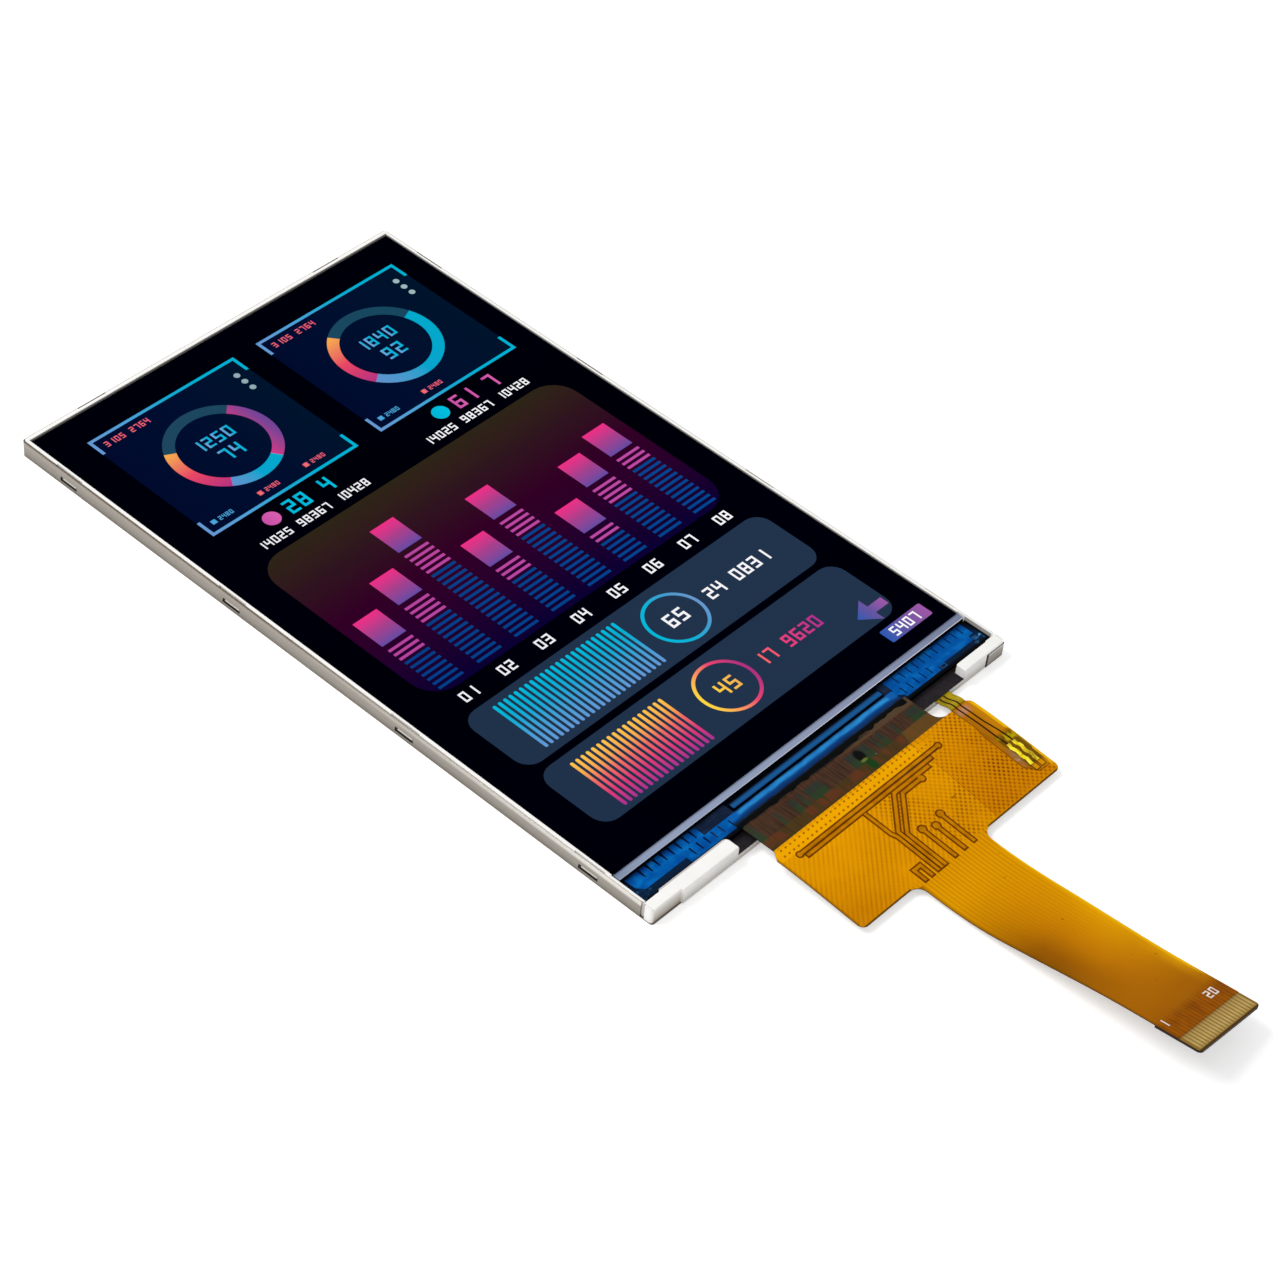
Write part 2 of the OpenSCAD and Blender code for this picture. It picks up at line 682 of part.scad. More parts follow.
// Dark fingers on those fields and dark pads beside the chip
module ledge_marks() {
    finger_l = 1.12;
    left_skips = 2;
    lower_y = chip_y0 - 0.33;
    color([0.03, 0.08, 0.2]) {
        translate([0, 0, conductor_z]) linear_extrude(conductor_t) {
            for (i = [0:upper_fingers - 1])
                finger(finger_x + (i + 0.5) * finger_pitch, field_top - 0.12, finger_w, finger_w * 0.9,
                    finger_l);
            for (i = [left_skips:upper_fingers - left_skips])
                finger(-finger_x - (i + 0.5) * finger_pitch, field_top - 0.02, 2.6 * finger_w, finger_w,
                    finger_l);
            for (side = [-1, 1])
                for (i = [0:lower_fingers - 1])
                    finger(side * (finger_x + i * finger_pitch), lower_y - (side > 0 ? 0.15 : 0),
                        finger_w * (side > 0 ? 1 : 1.6), finger_w, finger_l - 0.05);
        }
        for (pad = ledge_pads)
            slab(pad[0], pads_y0, pad[1], filter_end - 0.05, ledge_z, ledge_z + conductor_t);
    }
}

// Low bead of clear sealant between the chip and the flex
module ledge_sealant() {
    bead_y1 = chip_y0 - 0.2;
    color([0.05, 0.35, 0.7])
        translate([chip_x0 + 0.3, 0, 0]) rotate([90, 0, 90]) linear_extrude(chip_l - 0.3)
            polygon([[bead_y1 - bead_w, ledge_z], [bead_y1, ledge_z],
                [bead_y1 - 0.15, ledge_z + bead_h * 0.8], [bead_y1 - 0.4, ledge_z + bead_h],
                [bead_y1 - 0.8, ledge_z + bead_h * 0.7]]);
}

// ---- flex shape ----------------------------------------------------------

function ease(u) = u <= 0 ? 0 : u >= 1 ? 1 : u * u * (3 - 2 * u);

// Height of the base film's lower face on the tail's centre line
function spine(y) = y > dip_y
    ? flex_z0 - (flex_z0 - dip_z) * ease((fall_y - y) / dip_l)
    : dip_z + rise * (dip_y - y < rise_bend
        ? (dip_y - y) * (dip_y - y) / 2 / rise_bend
        : dip_y - y - rise_bend / 2);

function flex_z(x, y) = spine(y) - (x - tail_x) * lean * ease((lean_y - y) / lean_l);

// Places along the flex, and across it, at which its height is worked out
stations = concat([array_end + 1],
    [for (y = fall_y; y > lean_y - lean_l - station_pitch; y = y - station_pitch) y], [tail_end - 1]);
lanes = concat([-body_right - 1], [for (i = [-2:2]) tail_x + i * 0.3 * tail_w], [body_right + 1]);
spine_table = [for (y = stations) [y, spine(y)]];

// Stations between y0 and y1, with one beyond each
function stations_in(y0, y1) = [for (i = [0:len(stations) - 1])
    if (stations[min(i + 1, len(stations) - 1)] < y1 && stations[max(i - 1, 0)] > y0) stations[i]];

// Layer between heights h0 and h1 over the base film's lower face
module ribbon(h0, h1, y0, y1) {
    ys = stations_in(y0, y1);
    m = len(ys);
    n = len(lanes);
    points = [for (h = [h0, h1]) for (y = ys) for (x = lanes) [x, y, flex_z(x, y) + h]];
    top = m * n;
    last = top - n;
    faces = concat(
        [for (i = [0:m - 2]) for (j = [0:n - 2]) let (k = top + i * n + j) [k, k + 1, k + n + 1]],
        [for (i = [0:m - 2]) for (j = [0:n - 2]) let (k = top + i * n + j) [k, k + n + 1, k + n]],
        [for (i = [0:m - 2]) for (j = [0:n - 2]) let (k = i * n + j) [k + n + 1, k + 1, k]],
        [for (i = [0:m - 2]) for (j = [0:n - 2]) let (k = i * n + j) [k + n, k + n + 1, k]],
        [for (i = [0:m - 2]) let (k = i * n) [k, k + top, k + top + n, k + n]],
        [for (i = [0:m - 2]) let (k = i * n + n - 1) [k + n, k + top + n, k + top, k]],
        [for (j = [0:n - 2]) [j + 1, j + 1 + top, j + top, j]],
        [for (j = [last:last + n - 2]) [j, j + top, j + top + 1, j + 1]]);
    polyhedron(points, faces);
}

// Flat shape laid on the flex as a layer between heights h0 and h1
module on_flex(h0, h1, y0 = tail_end, y1 = bond_end) {
    intersection() {
        ribbon(h0, h1, y0, y1);
        translate([0, 0, -2]) linear_extrude(12) children();
    }
}

// Outline of the whole flex
module flex_outline() {
    neck_r = 1.3;
    shoulder = 1.15;
    polygon(concat(
        [[bond_left, bond_end], [bond_right, bond_end]],
        arc([bond_right + neck_r, cover_y + neck_r], neck_r, 180, 270),
        arc([body_right - body_r, cover_y - body_r], body_r, 90, 0),
        arc([body_right - body_r, body_end + body_r], body_r, 0, -90),
        arc([tail_right + tail_r, body_end - tail_r], tail_r, 90, 180),
        arc([tail_right - tail_corner_r, tail_end + tail_corner_r], tail_corner_r, 0, -90),
        arc([tail_left + tail_corner_r, tail_end + tail_corner_r], tail_corner_r, 270, 180),
        arc([tail_left - tail_r, body_end - tail_r], tail_r, 0, 90),
        arc([-body_left + body_r, body_end + body_r], body_r, 270, 180),
        [[-body_left, cover_y - shoulder], [bond_left, cover_y]]));
}

function unit(v) = v / norm(v);
function left_of(v) = [-v[1], v[0]];

// Sideways step to a strip's edge at corner i of its route
function edge_step(route, i) = let (
    n = len(route) - 1,
    before = left_of(unit(route[max(i, 1)] - route[max(i, 1) - 1])),
    after = left_of(unit(route[min(i, n - 1) + 1] - route[min(i, n - 1)])),
    mean = unit(before + after)) mean / (mean * before);

// Strip of width w along a route
module strip(route, w) {
    polygon(concat(
        [for (i = [0:len(route) - 1]) route[i] + w / 2 * edge_step(route, i)],
        [for (i = [len(route) - 1:-1:0]) route[i] - w / 2 * edge_step(route, i)]));
}

// ---- flex pieces ---------------------------------------------------------

module flex_bond_film() {
    color([0.16, 0.14, 0.1]) slab(bond_left, array_end, bond_right, bond_end, ledge_z, ledge_z + bond_t);
}

module main_flex() {
    color([0.55, 0.38, 0.05]) on_flex(0, base_t) flex_outline();
}

module flex_backing_tape() {
    color([0.16, 0.14, 0.13])
        on_flex(-backing_t, 0, cover_y, end_y)
            translate([bond_left, cover_y]) square([bond_w, body_gap - 0.05]);
}

// Routes of the wide tracks, from the middle of the flex body's upper edge
track_w = 0.36;
tracks_end = -13.1;
bundle = [[[-11.7, -2.17], [10.9, -2.17]], [[-11.2, -2.78], [9, -2.78]]];
falls = [[[-2.41, -3.08], [-2.41, -6.7], [-2.15, -7.5], [-2.15, tracks_end]],
    [[7.9, -3.36], [2.1, -3.36], [-1.59, -7.05], [-1.59, tracks_end]],
    [[5.9, -3.95], [2.82, -3.95], [-1.03, -7.8], [-1.03, tracks_end]]];
stubs = [[[0.65, -8.47], [0.65, tracks_end]], [[2.19, -9.13], [2.19, tracks_end]],
    [[3.73, -8.4], [3.73, tracks_end]]];
loop = [[-4.25, tracks_end], [-4.25, -11.4], [-3.2, -11.4], [-3.2, tracks_end]];

module track_shapes() {
    translate([tail_x, cover_y]) {
        for (route = concat(bundle, falls, stubs, [loop]))
            strip(route, track_w);
        for (route = concat([falls[2]], stubs))
            translate(route[0]) circle(track_w * 1.1, $fn = 24);
        translate(bundle[0][0]) circle(track_w * 0.8, $fn = 24);
        translate(bundle[0][1]) circle(track_w * 0.8, $fn = 24);
    }
}

module flex_coverlay() {
    color([0.85, 0.6, 0.05])
        on_flex(base_t, flex_top_t, contact_y1, cover_y)
            difference() {
                intersection() {
                    flex_outline();
                    translate([-body_right, contact_y1]) square([2 * body_right, cover_y - contact_y1]);
                }
                track_shapes();
            }
}

module flex_tracks() {
    color([0.62, 0.38, 0.02])
        on_flex(base_t, flex_top_t + track_t, body_end - 1, cover_y - 1.5) track_shapes();
}

module chip_capacitors() {
    count = 5;
    spacing = 2.4;
    first_x = -9.5;
    size = [1, 0.5];
    color([0.62, 0.55, 0.45])
        on_flex(-size[1], 0, cover_y - 7, cover_y - 5)
            for (i = [0:count - 1])
                translate([first_x + i * spacing, cover_y - 6]) square(size);
}

module contact_stiffener() {
    color([0.2, 0.14, 0.1])
        on_flex(-stiffener_t, 0, tail_end, stiffener_y)
            intersection() {
                translate([tail_left, tail_end]) square([tail_w, stiffener_l]);
                flex_outline();
            }
}

module contact_fingers() {
    color([0.78, 0.66, 0.36])
        on_flex(base_t, base_t + contact_t, tail_end, contact_y1)
            for (i = [0:contacts - 1])
                translate([tail_x + (i - (contacts - 1) / 2) * contact_pitch - contact_w / 2, contact_y0])
                    square([contact_w, contact_l]);
}

module pin_numbers() {
    left_inset = 0.4;
    right_inset = 1.45;
    one_y = contact_y1 + 1.75;
    twenty_y = contact_y1 + 1.3;
    color([0.95, 0.93, 0.9])
        on_flex(flex_top_t, flex_top_t + light_t, contact_y1, one_y + 2 * pin_figure_h) {
            figures("1", tail_left + left_inset, one_y, pin_figure_h);
            figures("20", tail_right - right_inset - 1.4 * pin_figure_h, twenty_y, pin_figure_h);
        }
}

// ---- backlight flex ------------------------------------------------------

// Heights of the arm's lower face: out under the tape, up, then on the flex
rise_steps = 8;
arm_rest = flex_z0 + flex_top_t;
arm_rise_l = body_gap - 0.2;
arm_route = concat([[end_y + 1.5, lamp_flex_z]],
    [for (i = [0:rise_steps]) [end_y - 0.1 - arm_rise_l * i / rise_steps,
        lamp_flex_z + (arm_rest - lamp_flex_z) * ease(i / rise_steps)]],
    [for (y = stations) if (y < cover_y && y > arm_end) [y, spine(y) + flex_top_t]],
    [[arm_end, lookup(arm_end, spine_table) + flex_top_t]]);

// Flat shape laid on the arm as a layer between heights h0 and h1
module on_arm(h0, h1) {
    n = len(arm_route) - 1;
    intersection() {
        translate([arm_left - arm_swell - 1, 0, 0]) rotate([90, 0, 90])
            linear_extrude(arm_w + arm_swell + 2)
                polygon(concat([for (p = arm_route) p + [0, h0]],
                    [for (i = [n:-1:0]) arm_route[i] + [0, h1]]));
        translate([0, 0, -2]) linear_extrude(12) children();
    }
}

// Outline of the arm: it leans to the left as it climbs, then widens on the flex body
module arm_outline() {
    lean = 0.6;
    r = 0.5;
    polygon(concat(
        [[arm_left, end_y + 1.5], [arm_right, end_y + 1.5], [arm_right, end_y - 0.3],
            [arm_right - lean, cover_y + 0.1], [arm_right - lean + 0.1, cover_y - 1.2],
            [arm_right - lean + 0.1, arm_end + 6.4], [arm_right - 0.15, arm_end + 5.9],
            [arm_right - 0.15, arm_end + 2.9], [arm_right - 0.4, arm_end + 2.5]],
        arc([arm_right - 0.4 - r, arm_end + r], r, 0, -90),
        arc([arm_left + r - 0.15, arm_end + r], r, 270, 200),
        [[arm_left - arm_swell + 0.4, arm_end + 1], [arm_left - arm_swell, arm_end + 1.4],
            [arm_left - arm_swell, arm_end + 6.8], [arm_left - lean, arm_end + 8.5],
            [arm_left - lean, cover_y + 0.1], [arm_left, end_y - 0.3]]));
}

module backlight_flex() {
    color([0.88, 0.6, 0.08]) {
        on_arm(0, lamp_flex_t) arm_outline();
        slab(-strip_x, lower_wall_y + guide_gap, strip_x, film_end - guide_gap,
            lamp_flex_z, lamp_flex_z + lamp_flex_t);
    }
}

pad_y0 = arm_end + 1.1;
pad_x = [for (side = [-1, 1]) arm_x - 0.45 + side * pad_pitch / 2];

module backlight_flex_tracks() {
    color([0.45, 0.28, 0.02])
        on_arm(lamp_flex_t, lamp_flex_t + light_t)
            for (i = [0:1])
                strip([[arm_left + 0.6 + i * 0.7, end_y - 0.05], [arm_left + 0.03 + i * 0.7, cover_y - 0.3],
                    [arm_left + 0.1 + i * 0.68, cover_y - 3.3], [arm_left + 0.1 + i * 0.95, cover_y - 5.2],
                    [pad_x[i], pad_y0 + pad_l + 0.02]], 0.2);
}

module solder_joints() {
    step = 0.08;
    color([0.95, 0.85, 0.35])
        for (level = [0, 1])
            on_arm(lamp_flex_t + level * step, lamp_flex_t + (level + 1) * step)
                for (x = pad_x)
                    polygon(round_box(x - pad_w / 2 + level * step, pad_y0 + level * step,
                        x + pad_w / 2 - level * step, pad_y0 + pad_l - level * step, 0.14));
}

// ---- picture -------------------------------------------------------------

// Layer 0 lies on the screen, layer 1 on layer 0
module lit(layer) {
    translate([0, 0, screen_z + layer * light_t]) linear_extrude(light_t) children();
}

// Figures made of seven bars each, with their lower left corner at x, y
figure_w = 0.58;
figure_step = 0.82;
stroke = 0.15;
digit_bars = ["abcdef", "bc", "abdeg", "abcdg", "bcfg", "acdfg", "acdefg", "abc", "abcdefg", "abcdfg"];

// Box of a bar in a figure of height 1
function bar_box(bar) =
    bar == "a" ? [[0, 1 - stroke], [figure_w, stroke]] :
    bar == "b" ? [[figure_w - stroke, 0.5], [stroke, 0.5]] :
    bar == "c" ? [[figure_w - stroke, 0], [stroke, 0.5]] :
    bar == "d" ? [[0, 0], [figure_w, stroke]] :
    bar == "e" ? [[0, 0], [stroke, 0.5]] :
    bar == "f" ? [[0, 0.5], [stroke, 0.5]] :
    [[0, 0.5 - stroke / 2], [figure_w, stroke]];

module figures(digits, x, y, h) {
    for (i = [0:len(digits) - 1])
        if (digits[i] != " ") {
            bars = digit_bars[ord(digits[i]) - ord("0")];
            for (k = [0:len(bars) - 1])
                translate([x + i * figure_step * h, y] + bar_box(bars[k])[0] * h)
                    square(bar_box(bars[k])[1] * h);
        }
}

module box_at(x, y, w, h) {
    translate([x, y]) square([w, h]);
}

// Part of a ring round c from angle a0 to a1
module ring_part(c, r, w, a0, a1) {
    polygon(concat(arc(c, r, a0, a1, 24), arc(c, r - w, a1, a0, 24)));
}

module card_fields() {
    color([0, 0.06, 0.18])
        lit(0)
            for (x = cards_x)
                polygon(round_box(x + 0.2, cards_y0 + 0.2, x + card_w - 0.2, cards_y1 - 0.2, 0.4));
}

module card_brackets() {
    color([0.1, 0.6, 0.8])
        lit(1)
            for (x = cards_x) {
                for (y = [cards_y0 + 0.2, cards_y1 - 0.2 - bracket_t])
                    box_at(x + 0.2, y, card_w - 0.4, bracket_t);
                for (side_x = [x + 0.2, x + card_w - 0.2 - bracket_t])
                    for (y = [cards_y0 + 0.2, cards_y1 - 0.2 - bracket_leg])
                        box_at(side_x, y, bracket_t, bracket_leg);
            }
}

module gauge_arcs_teal() {
    color([0.11, 0.29, 0.35])
        lit(1) {
            ring_part([gauge_x[0], gauge_y[0]], gauge_r, gauge_band, 44, 152);
            ring_part([gauge_x[1], gauge_y[1]], gauge_r, gauge_band, 22, 128);
        }
}

module gauge_arcs_warm() {
    color([1, 0.5, 0.35])
        lit(1) {
            ring_part([gauge_x[0], gauge_y[0]], gauge_r, gauge_band, 152, 236);
            ring_part([gauge_x[1], gauge_y[1]], gauge_r, gauge_band, 128, 216);
        }
}

module gauge_arcs_cool() {
    color([0, 0.65, 0.81])
        lit(1) {
            ring_part([gauge_x[0], gauge_y[0]], gauge_r, gauge_band, 236, 304);
            ring_part([gauge_x[1], gauge_y[1]], gauge_r, gauge_band, 216, 382);
        }
}

module gauge_arc_violet() {
    color([0.55, 0.25, 0.6]) lit(1) ring_part([gauge_x[0], gauge_y[0]], gauge_r, gauge_band, 304, 404);
}

module gauge_figures() {
    color([0.35, 0.6, 0.85])
        lit(1)
            for (i = [0:1]) {
                figures(["1250", "1840"][i], gauge_x[i] - 2.9, gauge_y[i] + 0.6, 1.8);
                figures(["74", "92"][i], gauge_x[i] - 1.4, gauge_y[i] - 2.4, 2);
            }
}

module menu_dots() {
    dot_r = 0.4;
    dot_inset = [2.05, 2.9];
    dot_pitch = 1.35;
    color([0.62, 0.66, 0.7])
        lit(1)
            for (x = cards_x)
                for (i = [0:2])
                    translate([x + card_w - dot_inset[0], cards_y1 - dot_inset[1] - i * dot_pitch])
                        circle(dot_r, $fn = 24);
}

legend_h = 0.65;
legend_y = cards_y0 + 1.55;
legend_step = 7;

// Square and figures number i in a card's legend
module legend_mark(x, i) {
    box_at(x + 1.5 + i * legend_step, legend_y, legend_h, legend_h);
    figures("2480", x + 2.6 + i * legend_step, legend_y, legend_h);
}

module pink_captions() {
    heading_h = 0.9;
    color([0.85, 0.25, 0.55])
        lit(1) {
            for (x = cards_x)
                figures("3105 2764", x + 1.5, cards_y1 - 2.3, heading_h);
            for (i = [1:2])
                legend_mark(cards_x[0], i);
            legend_mark(cards_x[1], 1);
        }
}

module cool_captions() {
    color([0.3, 0.55, 0.8])
        lit(1)
            for (x = cards_x)
                legend_mark(x, 0);
}

reading_y = cards_y0 - 3.1;
key_x = polarizer_x - key_inset - key_l;
key_y = progress_y - progress_step - 3.1;

module cyan_reading() {
    color([0.1, 0.65, 0.78])
        lit(0) {
            figures("28 4", cards_x[0] + 9.2, reading_y, figure_h);
            translate([cards_x[1] + 7.6, reading_y + figure_h / 2]) circle(1.1, $fn = 32);
        }
}

module magenta_reading() {
    color([0.68, 0.25, 0.62])
        lit(0) {
            figures("61 7", cards_x[1] + 9.8, reading_y, figure_h);
            translate([cards_x[0] + 6.9, reading_y + figure_h / 2]) circle(1.1, $fn = 32);
        }
}

function column_x(i) = chart_x - 0.2 + (i - (len(columns) - 1) / 2) * column_pitch;
columns_y = chart_y0 + 0.8;

module white_figures() {
    caption_h = 1.2;
    month_h = 1.5;
    color([0.93, 0.93, 0.96])
        lit(0) {
            for (x = cards_x)
                figures("14025 98367 10428", x + 2.6, cards_y0 - 5.3, caption_h);
            for (i = [0:len(columns) - 1])
                figures(str("0", i + 1), column_x(i) - 0.72 * month_h, chart_y0 - 2.5, month_h);
        }
    color([0.93, 0.93, 0.96])
        lit(1) {
            figures("65", ring_x[0] - 1.4, ring_y[0] - 1, 2);
            figures("24 0831", ring_x[0] + 5.1, ring_y[0] - 0.9, 1.8);
            figures("5407", key_x + 1.1, key_y + 0.35, 1.4);
        }
}

module chart_field() {
    color([0.18, 0, 0.14])
        lit(0) polygon(round_box(-picture_left, chart_y0, field_right, chart_y1, chart_r));
}

module chart_bars(i, first, count) {
    for (k = [0:count - 1])
        box_at(column_x(i) - column_w / 2, columns_y + (first + k) * bar_pitch, column_w, bar_h);
}

module chart_bars_blue() {
    color([0, 0.25, 0.5])
        lit(1)
            for (i = [0:len(columns) - 1])
                chart_bars(i, 0, columns[i][0]);
}

module chart_bars_pink() {
    color([0.72, 0.28, 0.6])
        lit(1)
            for (i = [0:len(columns) - 1])
                chart_bars(i, columns[i][0], columns[i][1]);
}

module chart_caps() {
    cap_gap = 0.35;
    color([0.75, 0.22, 0.55])
        lit(1)
            for (i = [0:len(columns) - 1]) {
                bars = columns[i][0] + columns[i][1];
                box_at(column_x(i) - column_w / 2, columns_y + bars * bar_pitch + cap_gap, column_w, cap_h);
            }
}

module progress_fields() {
    color([0.13, 0.2, 0.3])
        lit(0)
            for (i = [0:1])
                polygon(round_box(-picture_left, progress_y - i * progress_step, field_right,
                    progress_y - i * progress_step + progress_h, progress_corner));
}

// Upright bars in progress field i
module progress_bars(i, count) {
    bar_inset = 1;
    first_x = -picture_left + 3.8;
    first_y = progress_y - i * (progress_step + 0.28) + bar_inset;
    for (k = [0:count - 1])
        polygon(round_box(first_x + k * progress_pitch, first_y, first_x + k * progress_pitch + progress_w,
            first_y + progress_h - 2 * bar_inset, progress_w / 2 - 0.01));
}

module progress_bars_cool() {
    color([0.1, 0.62, 0.8]) lit(1) progress_bars(0, 24);
}

module progress_bars_warm() {
    color([0.92, 0.35, 0.4]) lit(1) progress_bars(1, 18);
}

module progress_ring_cool() {
    color([0.2, 0.65, 0.85])
        lit(1)
            translate([ring_x[0], ring_y[0]]) difference() {
                circle(progress_r);
                circle(progress_r - ring_t);
            }
}

module progress_ring_warm() {
    color([0.9, 0.4, 0.45])
        lit(1)
            translate([ring_x[1], ring_y[1]]) difference() {
                circle(progress_r);
                circle(progress_r - ring_t);
            }
}

module warm_figures() {
    color([0.95, 0.5, 0.35])
        lit(1) {
            figures("45", ring_x[1] - 1.4, ring_y[1] - 1, 2);
            figures("17 9620", ring_x[1] + 5.1, ring_y[1] - 0.9, 1.8);
        }
}

// Plain touch key under a plain arrow
module return_key() {
    tip = [field_right - 5, key_y + 5];
    head = [2.4, 1.9];
    shaft = [2.2, 0.6];
    color([0.42, 0.36, 0.7]) lit(0) polygon(round_box(key_x, key_y, key_x + key_l, key_y + 2.1, 0.2));
    color([0.42, 0.36, 0.7])
        lit(1)
            polygon([tip, tip + [head[0], -head[1]], tip + [head[0], -shaft[1]],
                tip + [head[0] + shaft[0], -shaft[1]], tip + [head[0] + shaft[0], shaft[1]],
                tip + [head[0], shaft[1]], tip + head]);
}

steel_tray();
mould_frame();
reflector_film();
light_guide_plate();
diffuser_film();
lower_prism_film();
upper_prism_film();
backlight_leds();
backlight_flex();
backlight_flex_tracks();
solder_joints();
rim_tape();
rear_polarizer();
array_glass();
cell_seal();
liquid_crystal_layer();
colour_filter_glass();
front_polarizer();
driver_chip();
chip_bond_film();
ledge_conductors();
ledge_marks();
ledge_sealant();
flex_bond_film();
flex_backing_tape();
main_flex();
flex_coverlay();
flex_tracks();
contact_stiffener();
contact_fingers();
pin_numbers();
chip_capacitors();
card_fields();
card_brackets();
gauge_arcs_teal();
gauge_arcs_warm();
gauge_arcs_cool();
gauge_arc_violet();
gauge_figures();
menu_dots();
pink_captions();
cool_captions();
cyan_reading();
magenta_reading();
white_figures();
chart_field();
chart_caps();
chart_bars_pink();
chart_bars_blue();
progress_fields();
progress_bars_cool();
progress_bars_warm();
progress_ring_cool();
progress_ring_warm();
warm_figures();
return_key();
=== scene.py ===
"""Looks, light and camera for a small TFT display module that lies on its back."""
import math

import bmesh
import bpy
from mathutils import Matrix, Vector
from mathutils.bvhtree import BVHTree


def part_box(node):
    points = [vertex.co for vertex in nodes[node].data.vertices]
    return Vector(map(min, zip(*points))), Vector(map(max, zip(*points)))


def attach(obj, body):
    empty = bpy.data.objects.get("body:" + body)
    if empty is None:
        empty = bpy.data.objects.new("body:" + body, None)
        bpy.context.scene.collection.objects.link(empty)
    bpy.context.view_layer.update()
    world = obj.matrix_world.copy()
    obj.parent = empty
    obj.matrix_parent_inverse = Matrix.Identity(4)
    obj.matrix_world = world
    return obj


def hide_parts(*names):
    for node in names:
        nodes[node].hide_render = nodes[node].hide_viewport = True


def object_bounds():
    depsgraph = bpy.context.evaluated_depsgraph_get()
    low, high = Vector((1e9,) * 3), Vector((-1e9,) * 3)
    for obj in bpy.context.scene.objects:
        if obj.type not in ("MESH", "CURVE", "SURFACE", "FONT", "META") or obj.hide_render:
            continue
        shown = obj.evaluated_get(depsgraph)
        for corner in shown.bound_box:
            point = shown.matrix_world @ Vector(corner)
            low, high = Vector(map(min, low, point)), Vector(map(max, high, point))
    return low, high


MM = 0.001
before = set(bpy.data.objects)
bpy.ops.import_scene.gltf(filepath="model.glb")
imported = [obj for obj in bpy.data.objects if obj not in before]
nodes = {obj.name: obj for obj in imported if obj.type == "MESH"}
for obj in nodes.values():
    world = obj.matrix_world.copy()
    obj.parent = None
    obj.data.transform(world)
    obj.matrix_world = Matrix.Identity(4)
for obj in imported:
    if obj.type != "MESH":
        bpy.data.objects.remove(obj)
cad_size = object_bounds()


def edges(name):
    """Lowest and highest corner of a CAD node, in millimetres."""
    low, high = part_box(name)
    return low / MM, high / MM


# ---- colour and node helpers ----


def rgb(code):
    """Linear colour of an sRGB hex code."""
    parts = [int(code[i:i + 2], 16) / 255 for i in (1, 3, 5)]
    return tuple(p / 12.92 if p <= 0.04045 else ((p + 0.055) / 1.055) ** 2.4 for p in parts) + (1.0,)


